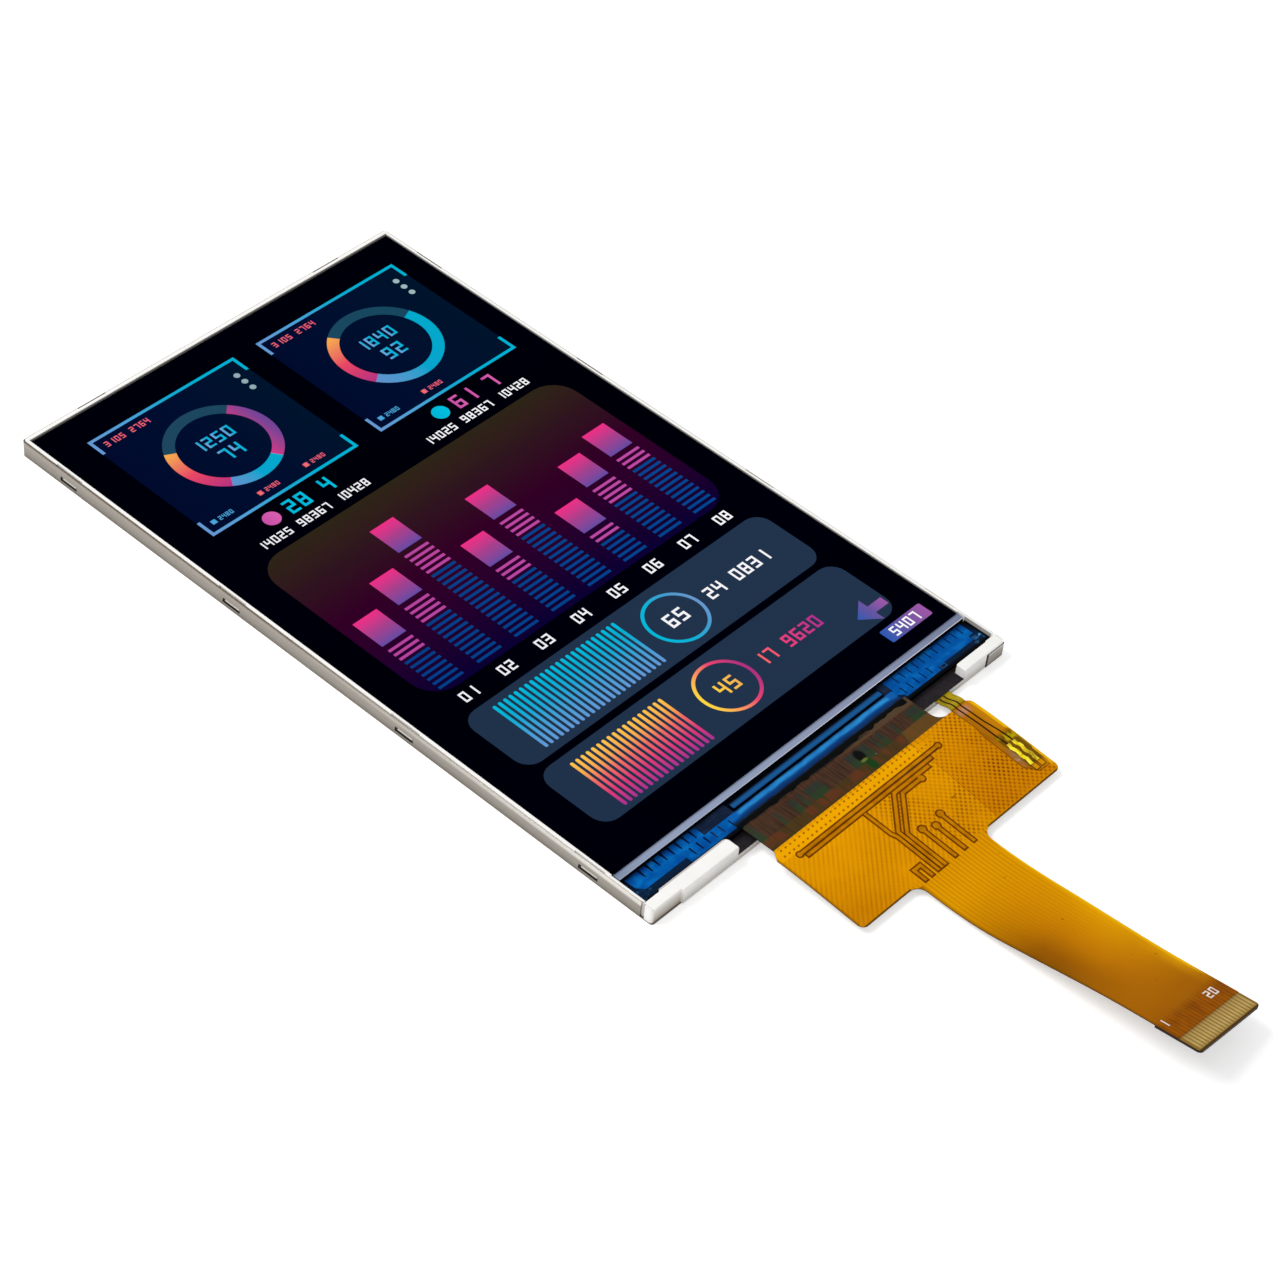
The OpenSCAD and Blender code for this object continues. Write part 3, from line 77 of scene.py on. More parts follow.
class Look:
    """A material with a Principled shader, and short calls that wire nodes to it."""

    def __init__(self, name, colour="#808080", roughness=0.5, metallic=0.0, gloss=0.5, **sockets):
        self.material = bpy.data.materials.new(name)
        self.material.use_nodes = True
        self.tree = self.material.node_tree
        self.shader = self.tree.nodes["Principled BSDF"]
        sockets.update({"Base Color": rgb(colour), "Roughness": roughness, "Metallic": metallic,
                        "Specular IOR Level": gloss})
        for socket, value in sockets.items():
            self.shader.inputs[socket.replace("_", " ")].default_value = value
        self._vector = None
        self._place = None

    def wire(self, target, source):
        if isinstance(source, bpy.types.NodeSocket):
            self.tree.links.new(source, target)
        else:
            target.default_value = source

    def node(self, kind, inputs=(), **settings):
        made = self.tree.nodes.new("ShaderNode" + kind)
        for name, value in settings.items():
            setattr(made, name, value)
        for key, value in dict(inputs).items():
            self.wire(made.inputs[key], value)
        return made

    def set(self, socket, source):
        self.wire(self.shader.inputs[socket], source)

    def colour(self, source):
        self.set("Base Color", source)

    def vector(self):
        """The point on the object, in millimetres."""
        if self._vector is None:
            where = self.node("TexCoord").outputs["Object"]
            scaled = self.node("VectorMath", {0: where, 1: (1 / MM,) * 3}, operation="MULTIPLY")
            self._vector = scaled.outputs[0]
        return self._vector

    def place(self):
        """That point's x, y and z."""
        if self._place is None:
            self._place = tuple(self.node("SeparateXYZ", {0: self.vector()}).outputs)
        return self._place

    def math(self, operation, a, b=0.0, c=0.0, clamp=False):
        return self.node("Math", {0: a, 1: b, 2: c}, operation=operation, use_clamp=clamp).outputs[0]

    def plus(self, a, b):
        return self.math("ADD", a, b)

    def minus(self, a, b):
        return self.math("SUBTRACT", a, b)

    def times(self, *values):
        """The product of the values."""
        product = values[0]
        for value in values[1:]:
            product = self.math("MULTIPLY", product, value)
        return product

    def linear(self, value, start, end):
        """0 at start and 1 at end, held beyond them."""
        made = self.node("MapRange", {0: value, 1: start, 2: end, 3: 0.0, 4: 1.0})
        return made.outputs[0]

    def band(self, value, low, high, soft=0.05):
        """1 between low and high, 0 outside, with soft edges."""
        rise = self.linear(value, low - soft, low + soft)
        fall = self.linear(value, high + soft, high - soft)
        return self.math("MULTIPLY", rise, fall)

    def lines(self, value, pitch, width, soft=0.03, shift=0.0):
        """1 on evenly spaced lines, 0 between them."""
        turn = self.math("FRACT", self.math("DIVIDE", self.plus(value, shift), pitch))
        off = self.math("ABSOLUTE", self.minus(turn, 0.5))
        return self.linear(off, 0.5 * width / pitch + soft / pitch, 0.5 * width / pitch - soft / pitch)

    def ramp(self, value, stops):
        """Colours along 0 to 1; stops are {place: hex code}."""
        made = self.node("ValToRGB", {0: value})
        elements = made.color_ramp.elements
        while len(elements) < len(stops):
            elements.new(0.5)
        for element, (where, code) in zip(elements, stops.items()):
            element.position = where
            element.color = rgb(code)
        return made.outputs[0]

    def mix(self, factor, a, b, blend="MIX"):
        a, b = (rgb(v) if isinstance(v, str) else v for v in (a, b))
        made = self.node("Mix", {0: factor, 6: a, 7: b}, data_type="RGBA", blend_type=blend)
        return made.outputs[2]

    def paint(self, tone, colour, *masks):
        """The tone with the colour over it, as far as the product of the masks says."""
        return self.mix(self.times(*masks), tone, colour)

    def noise(self, scale, detail=2.0, stretch=(1, 1, 1), distortion=0.0):
        """Noise with scale features a millimetre, 0 to 1, mostly near 0.5."""
        where = self.node("VectorMath", {0: self.vector(), 1: stretch}, operation="MULTIPLY").outputs[0]
        made = self.node("TexNoise", {"Vector": where, "Scale": scale, "Detail": detail,
                                      "Distortion": distortion})
        return made.outputs["Fac"]

    def bump(self, height, depth, strength=1.0):
        """Relief of that depth in millimetres."""
        made = self.node("Bump", {"Height": height, "Distance": depth * MM, "Strength": strength})
        self.wire(self.shader.inputs["Normal"], made.outputs[0])

    def box_line(self, cx, cy, half_x, half_y, width):
        """1 on the outline of a box about cx, cy."""
        x, y, _ = self.place()
        off_x = self.minus(self.math("ABSOLUTE", self.minus(x, cx)), half_x)
        off_y = self.minus(self.math("ABSOLUTE", self.minus(y, cy)), half_y)
        return self.band(self.math("MAXIMUM", off_x, off_y), -width / 2, width / 2, 0.03)

    def side_faces(self):
        """1 on faces that stand upright, 0 on those that lie flat."""
        normal = self.node("SeparateXYZ", {0: self.node("NewGeometry").outputs["Normal"]}).outputs[2]
        return self.linear(self.math("ABSOLUTE", normal), 0.6, 0.4)

    def soften_edges(self, radius):
        """Rounds the look of sharp edges by that radius in millimetres."""
        made = self.node("Bevel", {"Radius": radius * MM}, samples=6)
        for n in self.tree.nodes:
            if n.bl_idname == "ShaderNodeBump":
                self.wire(n.inputs["Normal"], made.outputs[0])
                return self
        self.wire(self.shader.inputs["Normal"], made.outputs[0])
        return self


def dress(look, *names):
    """Gives CAD nodes or pieces that material."""
    for name in names:
        obj = nodes[name] if isinstance(name, str) else name
        obj.data.materials.clear()
        obj.data.materials.append(look.material)


# ---- housing ----


WINDOW_PITCH, WINDOW_MIDDLE, WINDOW_W = 26.6, 0.65, 2.6
WINDOW_LOW, WINDOW_HIGH = 0.55, 1.1


def window_offset(look):
    """Distance in millimetres along the side from the middle of the nearest window."""
    y = look.place()[1]
    turn = look.math("DIVIDE", look.minus(y, WINDOW_MIDDLE), WINDOW_PITCH)
    return look.times(look.minus(look.math("FRACT", turn), 0.5), WINDOW_PITCH)


def frame_look():
    """White moulding with painted shade: dark on the walls round the glass, grey in the bare end recess.
    """
    look = Look("white_moulding", "#f4f3f0", 0.45, gloss=0.2)
    x, y, z = look.place()
    low, high = edges("mould_frame")
    glass_low, glass_high = edges("colour_filter_glass")
    ledge_top = edges("array_glass")[1].z
    from_end = look.minus(y, low.y)
    aside = look.math("ABSOLUTE", x)
    tone = look.ramp(look.noise(0.35, 3.0), {0.35: "#f1f0ec", 0.65: "#f6f5f3"})
    # Painted shade: darker towards the bottom, and more so on the end face
    tone = look.paint(tone, "#cfc8be", look.linear(z, 0.9, 0.3), 0.25)
    end_face_shade = look.times(look.linear(from_end, 0.3, 0.25), look.linear(z, 1.8, 0.0))
    tone = look.paint(tone, "#9a9085", end_face_shade, 0.6)

    # Painted shade on the walls round the glass, below the top of the rim, near black deep down by the
    # ledge
    wall_x, rail_top = glass_high.x + 0.15, 1.7
    by_glass = look.linear(aside, wall_x + 0.01, wall_x - 0.005)
    by_ledge = look.times(look.linear(aside, wall_x + 0.15, wall_x + 0.13),
                          look.linear(y, glass_low.y + 0.01, glass_low.y - 0.01))
    below = look.times(look.linear(z, high.z - 0.05, high.z - 0.15),
                       look.linear(y, high.y - 0.1, high.y - 0.2))
    inside = look.times(look.math("MAXIMUM", by_glass, by_ledge), below)
    above_rails = look.linear(from_end, rail_top - 0.02, rail_top + 0.02)
    tone = look.paint(tone, "#8f887f", inside, above_rails, 0.8)
    deep_shade = look.times(inside, look.linear(from_end, rail_top - 0.2, rail_top - 0.1),
                      look.linear(z, ledge_top + 0.1, ledge_top + 0.02))
    tone = look.paint(tone, "#0a0806", deep_shade)

    # Bare recess in the left end, with painted shade that darkens towards the bottom
    recess_y, recess_w, recess_top = 0.32, 4.4, 1.95
    recess = look.times(look.band(from_end, recess_y - 0.02, recess_y + 0.02, 0.01),
                        look.linear(x, low.x + recess_w + 0.01, low.x + recess_w - 0.01),
                        look.linear(z, recess_top + 0.13, recess_top))
    recess_shade = look.ramp(look.linear(z, recess_top, 0.3), {
        0.0: "#efece8", 0.25: "#d6d1ca", 0.6: "#c2bab0", 1.0: "#9f958a"})
    tone = look.paint(tone, recess_shade, recess, 0.9)
    # Painted shade in the groove along each side
    groove_shade = look.times(look.band(aside, high.x - 0.2, high.x - 0.16, 0.01),
                        look.linear(from_end, 2.1, 2.0))
    tone = look.paint(tone, "#8f887f", groove_shade, 0.55)

    # Hooks in the tray's side windows: painted shade, grey on the hooks and dark in the opening below and
    # behind each one
    hook_low, hook_end = 0.8, 0.9
    hook = look.times(look.linear(aside, high.x - 0.17, high.x - 0.15), look.linear(z, 1.3, 1.2),
                      look.linear(from_end, 3.0, 3.1))
    tone = look.paint(tone, "#cfc9c1", hook)
    opening_shade = look.math("MAXIMUM", look.linear(z, hook_low + 0.02, hook_low - 0.04),
                        look.linear(window_offset(look), hook_end, hook_end + 0.1))
    tone = look.paint(tone, "#0d0706", hook, opening_shade)
    look.colour(tone)
    look.set("Roughness", look.linear(look.noise(1.2), -0.9, 1.7))
    look.bump(look.noise(5.0, 3.0), 0.004)
    return look.soften_edges(0.1)


def steel_look():
    """Rolled sheet with painted light: a painted highlight below its upper edge, painted shade along that
    edge and round windows and tab.
    """
    look = Look("rolled_steel", "#8d8981", 0.34, 1.0)
    x, y, z = look.place()
    low, high = edges("steel_tray")
    from_end = look.minus(y, low.y)
    tab_left, tab_top = 25.5, 1.97
    grain = look.noise(1.4, 4.0, (0.12, 0.12, 5.0))
    # Painted light: darker towards the bottom, brighter up the wall, painted shade along the upper edge
    # under the rim
    tone = look.ramp(look.linear(z, 0.0, high.z), {
        0.0: "#4c463e", 0.1: "#625c53", 0.25: "#7f7970", 0.4: "#8c867e", 0.65: "#97918a", 0.85: "#a29b91",
        0.95: "#978c7e", 0.97: "#5c4632", 1.0: "#4c3826"})
    tone = look.paint(tone, "#77726b", grain, 0.45)
    tone = look.paint(tone, "#a39e97", look.noise(0.08, 2.0), 0.3)
    # Painted highlight below the upper edge
    tone = look.paint(tone, "#e4e0da", look.linear(y, 5.0, low.y + 8.0), look.linear(z, 1.5, 1.85), 0.75)
    # Painted shade round each window
    off = look.math("ABSOLUTE", window_offset(look))
    window_shade = look.times(look.linear(off, WINDOW_W / 2 + 0.1, WINDOW_W / 2 + 0.04),
                              look.band(z, WINDOW_LOW - 0.1, WINDOW_HIGH, 0.03))
    tone = look.paint(tone, "#241a14", window_shade, look.linear(z, WINDOW_HIGH, 0.7))
    # Painted shade in the gap along the tab's left and upper edges
    edge_x = look.minus(x, tab_left)
    edge_z = look.minus(tab_top, z)
    at_tab = look.times(look.linear(edge_x, -0.02, 0.0), look.linear(from_end, 0.3, 0.25))
    outline = look.math("MAXIMUM", look.linear(edge_x, 0.3, 0.2), look.linear(edge_z, 0.2, 0.12))
    tone = look.paint(tone, "#170b06", at_tab, outline)
    look.colour(tone)
    look.set("Roughness", look.linear(look.noise(2.0, 3.0, (0.2, 0.2, 3.0)), -0.8, 2.2))
    look.bump(grain, 0.002)
    return look.soften_edges(0.05)


def tape_look():
    look = Look("black_tape", "#211e21", 0.55, gloss=0.06)
    look.colour(look.ramp(look.noise(1.5, 3.0), {0.3: "#1b191c", 0.7: "#272327"}))
    look.bump(look.noise(9.0, 2.0), 0.003)
    return look


def dress_housing():
    dress(frame_look(), "mould_frame")
    dress(steel_look(), "steel_tray")
    dress(tape_look(), "rim_tape")


# ---- backlight inside ----


def film_look(name, colour, roughness, line_pitch=None):
    """A film inside the backlight, with fine lines along it where it is a prism film."""
    look = Look(name, colour, roughness)
    if line_pitch:
        look.bump(look.lines(look.place()[0], line_pitch, line_pitch / 2), 0.003)
    else:
        look.bump(look.noise(4.0), 0.002)
    return look


def dress_backlight():
    dress(film_look("reflector_white", "#eef0f2", 0.3), "reflector_film")
    guide = Look("guide_acrylic", "#dfeaf2", 0.08, IOR=1.49)
    x, y, _ = guide.place()
    dot_pitch, dot_w = 0.8, 0.3
    dots = guide.times(guide.lines(x, dot_pitch, dot_w), guide.lines(y, dot_pitch, dot_w))
    guide.colour(guide.mix(dots, "#dfeaf2", "#f8fbfd"))
    dress(guide, "light_guide_plate")
    dress(film_look("diffuser_milk", "#f0f0ec", 0.6), "diffuser_film")
    dress(film_look("prism_clear", "#d9dee6", 0.25, 0.06), "lower_prism_film", "upper_prism_film")
    lamp = Look("lamp_case", "#f6efc0", 0.35)
    face_y = edges("backlight_leds")[1].y
    phosphor = lamp.linear(lamp.place()[1], face_y - 0.3, face_y - 0.1)
    lamp.colour(lamp.mix(phosphor, "#f2f1ec", "#f3d64a"))
    dress(lamp, "backlight_leds")


# ---- cell and ledge ----


def polarizer_look():
    look = Look("screen_film", "#00000a", 0.3, gloss=0.0)
    look.colour(look.ramp(look.noise(0.03, 1.0), {0.3: "#000007", 0.7: "#00000b"}))
    look.bump(look.noise(5.0, 2.0), 0.0003)
    return look


def filter_glass_look():
    """Clear glass over the dark mask: a grey band below the polarizer, a painted highlight and painted
    shade at its edge, black in the gap round it.
    """
    look = Look("upper_glass", "#94a5ba", 0.2, gloss=0.04)
    x, y, _ = look.place()
    polarizer_y = edges("front_polarizer")[0].y
    low, high = edges("colour_filter_glass")
    along = look.linear(x, low.x, high.x)
    band = look.ramp(along, {
        0.0: "#76869f", 0.1: "#8a98b4", 0.4: "#8895b0", 0.75: "#7f89a6", 1.0: "#67728f"})
    top = look.linear(y, polarizer_y - 0.32, polarizer_y - 0.02)
    band = look.paint(band, "#454b5e", top, 0.7)
    band = look.paint(band, "#a9b0ca", look.noise(0.5, 3.0, (1.0, 3.0, 1.0)), 0.3)
    # Painted highlight along the glass's lower edge, and painted shade on its side face below it
    lip = look.linear(y, low.y + 0.11, low.y + 0.06)
    band = look.paint(band, look.ramp(along, {
        0.0: "#9ba7c0", 0.35: "#b9bfd4", 0.7: "#d6d5e4", 1.0: "#dedbe6"}), lip)
    band = look.paint(band, "#02030a", look.linear(y, low.y + 0.012, low.y + 0.004))
    under = look.linear(y, polarizer_y + 0.02, polarizer_y + 0.06)
    look.colour(look.paint(band, "#020207", under))
    return look


def array_glass_look():
    """The ledge outside the conductor fields: dark blue with a few paler glints."""
    look = Look("ledge_glass", "#0b2444", 0.2, gloss=0.02)
    x, y, _ = look.place()
    low, high = edges("array_glass")
    ledge_y = edges("colour_filter_glass")[0].y
    # Dark next to the upper glass, a painted shadow under its edge, and dark again at the front
    tone = look.ramp(look.linear(y, ledge_y, low.y), {
        0.0: "#010207", 0.05: "#02050f", 0.35: "#04142c", 0.62: "#06213f", 0.85: "#081d36",
        0.93: "#03060d", 1.0: "#010204"})
    glint = look.ramp(look.noise(1.3, 3.0, (1.0, 2.0, 1.0), 0.4), {
        0.5: "#000000", 0.6: "#1c5a8c", 0.72: "#8cc4e4"})
    outer = look.times(look.linear(look.math("ABSOLUTE", x), high.x - 2.4, high.x - 0.3),
                       look.band(y, low.y + 0.4, low.y + 1.7, 0.2))
    tone = look.paint(tone, look.mix(0.8, tone, glint, "SCREEN"), outer)
    for right, up, half in ((20.95, 0.72, 0.38), (26.95, 1.1, 0.24)):
        square = look.box_line(right, low.y + up, half, 0.22, 0.07)
        tone = look.paint(tone, "#1f5f9c", square)
    look.colour(tone)
    return look


def conductor_look():
    """Blue thin-film fan-out with fine lines in it."""
    look = Look("conductor_field", "#0068b4", 0.3, gloss=0.02)
    x, y, _ = look.place()
    low, high = edges("ledge_conductors")
    # Darker towards the upper glass: painted shadow under its edge
    tone = look.ramp(look.linear(y, high.y, low.y), {
        0.0: "#021c44", 0.1: "#013070", 0.22: "#014c98", 0.42: "#005cac", 0.7: "#0054a6", 1.0: "#004490"})
    fine = look.lines(look.plus(x, look.times(y, 0.35)), 0.22, 0.09, 0.04)
    tone = look.paint(tone, "#04387c", fine, 0.2)
    cloud = look.ramp(look.noise(0.6, 3.0, (1.0, 1.6, 1.0)), {
        0.35: "#003c88", 0.5: "#0056a4", 0.7: "#0a80cc"})
    look.colour(look.mix(0.42, tone, cloud))
    return look


def chip_look():
    """Silicon: blue sheen on top, painted shade on the sides."""
    look = Look("chip_silicon", "#124876", 0.2, gloss=0.03)
    _, y, z = look.place()
    low, high = edges("driver_chip")
    top = look.ramp(look.linear(y, high.y, low.y), {
        0.0: "#0c2648", 0.2: "#12406e", 0.45: "#175e9a", 0.85: "#12528a", 1.0: "#0a2a50"})
    top = look.paint(top, "#10467e", look.noise(0.25, 2.0, (1.0, 0.2, 1.0)), 0.5)
    # Painted shade on the sides
    side = look.linear(z, high.z - 0.02, high.z - 0.005)
    look.colour(look.mix(side, "#01030a", top))
    return look


def dress_cell():
    dress(polarizer_look(), "front_polarizer", "rear_polarizer")
    dress(filter_glass_look(), "colour_filter_glass")
    dress(array_glass_look(), "array_glass")
    thin = (("cell_seal", "cell_glue", 0.5, 0.5, 2.0, "#101013", "#1c1c20"),
            ("liquid_crystal_layer", "cell_fluid", 0.1, 0.5, 0.2, "#15161d", "#1e1f29"),
            ("chip_bond_film", "chip_bond", 0.35, 0.01, 3.0, "#010106", "#04060e"))
    for node, name, roughness, gloss, scale, dark, pale in thin:
        look = Look(name, pale, roughness, gloss=gloss)
        look.colour(look.ramp(look.noise(scale), {0.4: dark, 0.6: pale}))
        dress(look, node)
    dress(chip_look(), "driver_chip")
    dress(conductor_look(), "ledge_conductors")
    marks = Look("conductor_marks", "#020c20", 0.3, gloss=0.01)
    x = marks.place()[0]
    fingers = marks.ramp(marks.noise(0.6), {0.4: "#010716", 0.6: "#031230"})
    pads = marks.ramp(marks.noise(0.9, 2.0, (0.6, 1.5, 1.0)), {0.4: "#131f38", 0.6: "#1d2a44"})
    pad_x = edges("driver_chip")[0].x - 5.0
    on_pad = marks.times(marks.linear(x, pad_x, pad_x + 0.1), marks.linear(x, -pad_x - 2.6, -pad_x - 2.7))
    marks.colour(marks.mix(on_pad, fingers, pads))
    dress(marks, "ledge_marks")


# ---- flex ----


GRID_PITCH = 0.72


class Film:
    """Edges and masks of the flex's cover film, which the parts of its look share."""

    def __init__(self, look):
        self.x, self.y, _ = look.place()
        self.low, self.high = edges("flex_coverlay")
        self.tail_low, self.tail_high = edges("contact_stiffener")
        self.body_end = edges("flex_tracks")[0].y + 0.25
        self.body = look.linear(self.y, self.body_end - 0.4, self.body_end + 0.6)
        self.tail = look.minus(1.0, self.body)
        self.below_top = look.minus(self.high.y, self.y)
        self.above_end = look.minus(self.y, self.tail_low.y)
        fold_x = look.math("MULTIPLY_ADD", self.y, 0.055, 11.85)
        self.beyond_fold = look.minus(self.x, fold_x)


def film_tone(look, film):
    """Broad tone: bright near the module, deeper towards the contacts, painted shade right of the fold,
    painted light on the tail's curl.
    """
    tone = look.ramp(look.linear(film.y, film.high.y, film.low.y), {
        0.0: "#eaa000", 0.1: "#e49800", 0.25: "#dc9000", 0.36: "#de9800", 0.56: "#cc8400", 0.75: "#ae6800",
        0.86: "#a66000", 1.0: "#905000"})
    left_foot = look.times(look.linear(film.x, -5.0, -11.0), look.linear(film.below_top, 6.0, 11.5))
    tone = look.paint(tone, "#c07400", left_foot, 0.7)

    # Painted light from the tail's curl: painted shade to the left, painted highlights along the right
    # edge
    left, right = film.tail_low.x, film.tail_high.x
    shade = look.ramp(look.linear(film.x, left, right), {
        0.0: "#6c3c00", 0.18: "#8a4c00", 0.5: "#c27800", 0.85: "#de9800", 1.0: "#eaa800"})
    curl = look.times(look.band(film.above_end, 12.4, 25.4, 5.0), film.tail)
    tone = look.paint(tone, shade, curl, 0.82)
    glow = look.times(look.band(film.above_end, 7.4, 12.9, 2.2),
                      look.linear(film.x, right - 1.85, right - 0.15))
    tone = look.paint(tone, "#f0b000", glow, 0.6)
    lit_edge = look.times(look.linear(film.x, right - 0.5, right - 0.2),
                          look.band(film.above_end, 7.4, 32.9, 1.0))
    tone = look.paint(tone, "#f2bc00", lit_edge, 0.75)

    # Painted shade right of the fold
    beyond = look.times(look.linear(film.beyond_fold, -0.1, 0.1), film.body)
    deeper = look.math("MULTIPLY_ADD", look.linear(film.y, film.high.y - 1.0, film.body_end), 0.35, 0.35)
    tone = look.paint(tone, "#c46e00", beyond, deeper)
    cloud = look.ramp(look.noise(0.16, 3.0), {0.3: "#b87200", 0.7: "#fbae00"})
    return look.paint(tone, cloud, look.math("MULTIPLY_ADD", film.body, 0.12, 0.06))


def copper_grid(look, film, plain):
    """Grid at 45 degrees and its knots: lines one way to the left, both ways to the right."""
    width, soft = 0.26, 0.12
    rising = look.lines(look.minus(film.x, film.y), GRID_PITCH, width, soft)
    falling = look.lines(look.plus(film.x, film.y), GRID_PITCH, width, soft)
    to_right = look.linear(look.plus(film.x, look.times(film.y, 0.35)), -21.5, -17.5)
    knots = look.times(rising, falling)
    grid = look.plus(look.times(rising, 0.38), look.times(falling, to_right, 0.28))
    grid = look.plus(grid, look.times(knots, look.math("MULTIPLY_ADD", to_right, 0.55, 0.1)))
    bare = look.minus(1.0, plain)
    return look.math("MULTIPLY", look.times(grid, film.body), bare, clamp=True), knots


def via_rows(look, film):
    """Two rows of vias along the film's upper edge."""
    rows = look.math("MAXIMUM", look.band(film.below_top, 0.4, 0.62, 0.07),
                     look.band(film.below_top, 1.18, 1.42, 0.07))
    slanted = look.plus(film.x, look.times(film.y, -0.35))
    left = film.low.x + 0.7
    return look.times(look.lines(slanted, GRID_PITCH, 0.25, 0.08), rows,
                      look.linear(film.x, 12.5, 8.5), look.linear(film.x, left, left + 0.2))


def tail_strands(look, film):
    """Tail conductors, which show less and less towards the contacts and well over the stiffener."""
    pitch = 0.5
    fade = look.ramp(look.linear(film.y, film.body_end, film.low.y), {
        0.0: "#ffffff", 0.3: "#c0c0c0", 0.6: "#404040", 0.88: "#303030", 0.92: "#ffffff"})
    return look.times(look.lines(film.x, pitch, 0.14, 0.07, 0.1), film.tail, fade)


def film_outline(look, film, tone):
    """Painted shade inside the left and lower edges, in dark feet beside the tail and on upright faces; a
    painted highlight on the right edge.
    """
    far = 60.0
    # Painted shade inside the left and lower edges, for the shaded edges of the film
    near_end = look.minus(film.y, film.body_end)
    inset = look.math("MINIMUM", look.minus(film.x, film.low.x), near_end)
    inset = look.plus(inset, look.times(film.tail, far))
    tail_side = look.minus(film.x, film.tail_low.x)
    inset = look.math("MINIMUM", inset, look.plus(tail_side, look.times(film.body, far)))
    tone = look.paint(tone, "#6e4200", look.linear(inset, 0.32, 0.05), 0.65)
    # Painted shade in the dark feet beside the tail
    right, left = film.tail_high.x + 1.0, film.tail_low.x - 1.0
    beside = look.math("MAXIMUM", look.linear(film.x, right, right + 0.2),
                       look.linear(film.x, left, left - 0.2))
    foot = look.times(look.band(near_end, -1.0, 0.16, 0.05), beside)
    tone = look.paint(tone, "#341c00", foot, 0.85)
    # Painted highlight along the right edge
    bright = look.times(look.linear(film.x, film.high.x - 0.6, film.high.x - 0.35),
                        look.band(film.below_top, 0.2, 12.0, 0.6))
    tone = look.paint(tone, "#f2bc10", bright, 0.8)
    # Painted shade on the upright edges
    return look.paint(tone, "#4a2c00", look.side_faces(), 0.8)


def amber_look():
    """Cover film over a copper grid: amber, with the grid, vias and tail conductors showing through."""
    look = Look("amber_cover", "#dd9a05", 0.34, gloss=0.03, Specular_Tint=rgb("#ffb020"))
    film = Film(look)
    tone = film_tone(look, film)

    # Grid, which leaves a plain and brighter strip for the vias, and a stained patch of it
    plain = look.times(look.band(film.below_top, 0.3, 1.75, 0.06), look.linear(film.x, 11.5, 8.5))
    grid, knots = copper_grid(look, film, plain)
    patch = look.ramp(look.noise(0.35, 2.0), {0.35: "#a0a0a0", 0.65: "#ffffff"})
    tone = look.paint(tone, "#824400", grid, patch)
    tone = look.paint(tone, "#f5ae00", plain, 0.45)
    tone = look.paint(tone, "#7c3c00", via_rows(look, film), 0.9)
    stain = look.times(look.band(film.x, 12.4, 15.0, 0.8), look.band(film.below_top, 6.6, 10.2, 0.9))
    tone = look.paint(tone, "#601c00", stain, knots, 0.95)

    # Tail conductors, and the board that shows through behind the contacts
    strands = tail_strands(look, film)
    tone = look.paint(tone, "#8e5200", strands, 0.5)
    backed = look.linear(film.y, film.tail_high.y + 0.35, film.tail_high.y - 0.75)
    board = look.ramp(look.noise(1.2, 2.0, (1.0, 0.4, 1.0)), {0.35: "#8a4800", 0.65: "#9c5600"})
    tone = look.paint(tone, look.mix(look.times(strands, 0.5), board, "#5c2c02"), backed)

    # Painted shade in the crease of the fold beside the side flex, and specks
    fold = look.times(look.band(film.beyond_fold, -0.05, 0.05, 0.05),
                      look.band(film.below_top, 0.2, 12.6, 0.2))
    tone = look.paint(tone, "#7c4600", fold, 0.45)
    specks = look.ramp(look.noise(1.1, 1.0), {0.21: "#ffffff", 0.235: "#000000"})
    tone = look.paint(tone, "#7a4200", specks, 0.6)
    look.colour(film_outline(look, film, tone))
    relief = look.plus(look.times(grid, -0.6), look.times(strands, -0.5))
    waves = look.times(look.noise(0.25, 2.0), 6.0)
    look.bump(look.plus(relief, waves), 0.02, 0.7)
    look.set("Roughness", look.linear(look.noise(0.5, 2.0), -0.6, 2.0))
    return look


def bond_strands(look, x, y, foot_y):
    """Brown strands, olive brown below foot_y, with upright green blocks of uneven width on them."""
    strands = look.noise(1.0, 3.0, (5.0, 0.3, 1.0))
    tone = look.ramp(strands, {0.3: "#2e1d15", 0.5: "#402a1e", 0.62: "#4a3222", 0.75: "#352318"})
    foot = look.ramp(strands, {0.3: "#352610", 0.5: "#493314", 0.65: "#443618", 0.8: "#38280f"})
    tone = look.paint(tone, foot, look.linear(y, foot_y + 0.1, foot_y - 0.1))
    green = look.mix(look.linear(y, foot_y + 1.1, foot_y + 0.8), "#22322a", "#1b3c22")
    left_and_width = ((-9.4, 0.45), (-7.1, 0.9), (-5.7, 0.5), (-4.6, 2.4), (2.1, 3.3), (6.3, 0.5),
                      (7.1, 0.8), (9.4, 0.4), (12.0, 1.9))
    blocks = 0.0
    for left, width in left_and_width:
        blocks = look.math("MAXIMUM", blocks, look.band(x, left, left + width, 0.2))
    rows = look.band(y, foot_y - 0.05, foot_y + 1.95, 0.12)
    look.bump(strands, 0.01)
    return look.paint(tone, green, blocks, rows, 0.78)


def spot(look, x, y, cx, cy, rx, ry):
    """Distance from cx, cy, as a share of the oval's half widths."""
    part_x = look.math("DIVIDE", look.minus(x, cx), rx)
    part_y = look.math("DIVIDE", look.minus(y, cy), ry)
    return look.math("SQRT", look.plus(look.times(part_x, part_x), look.times(part_y, part_y)))


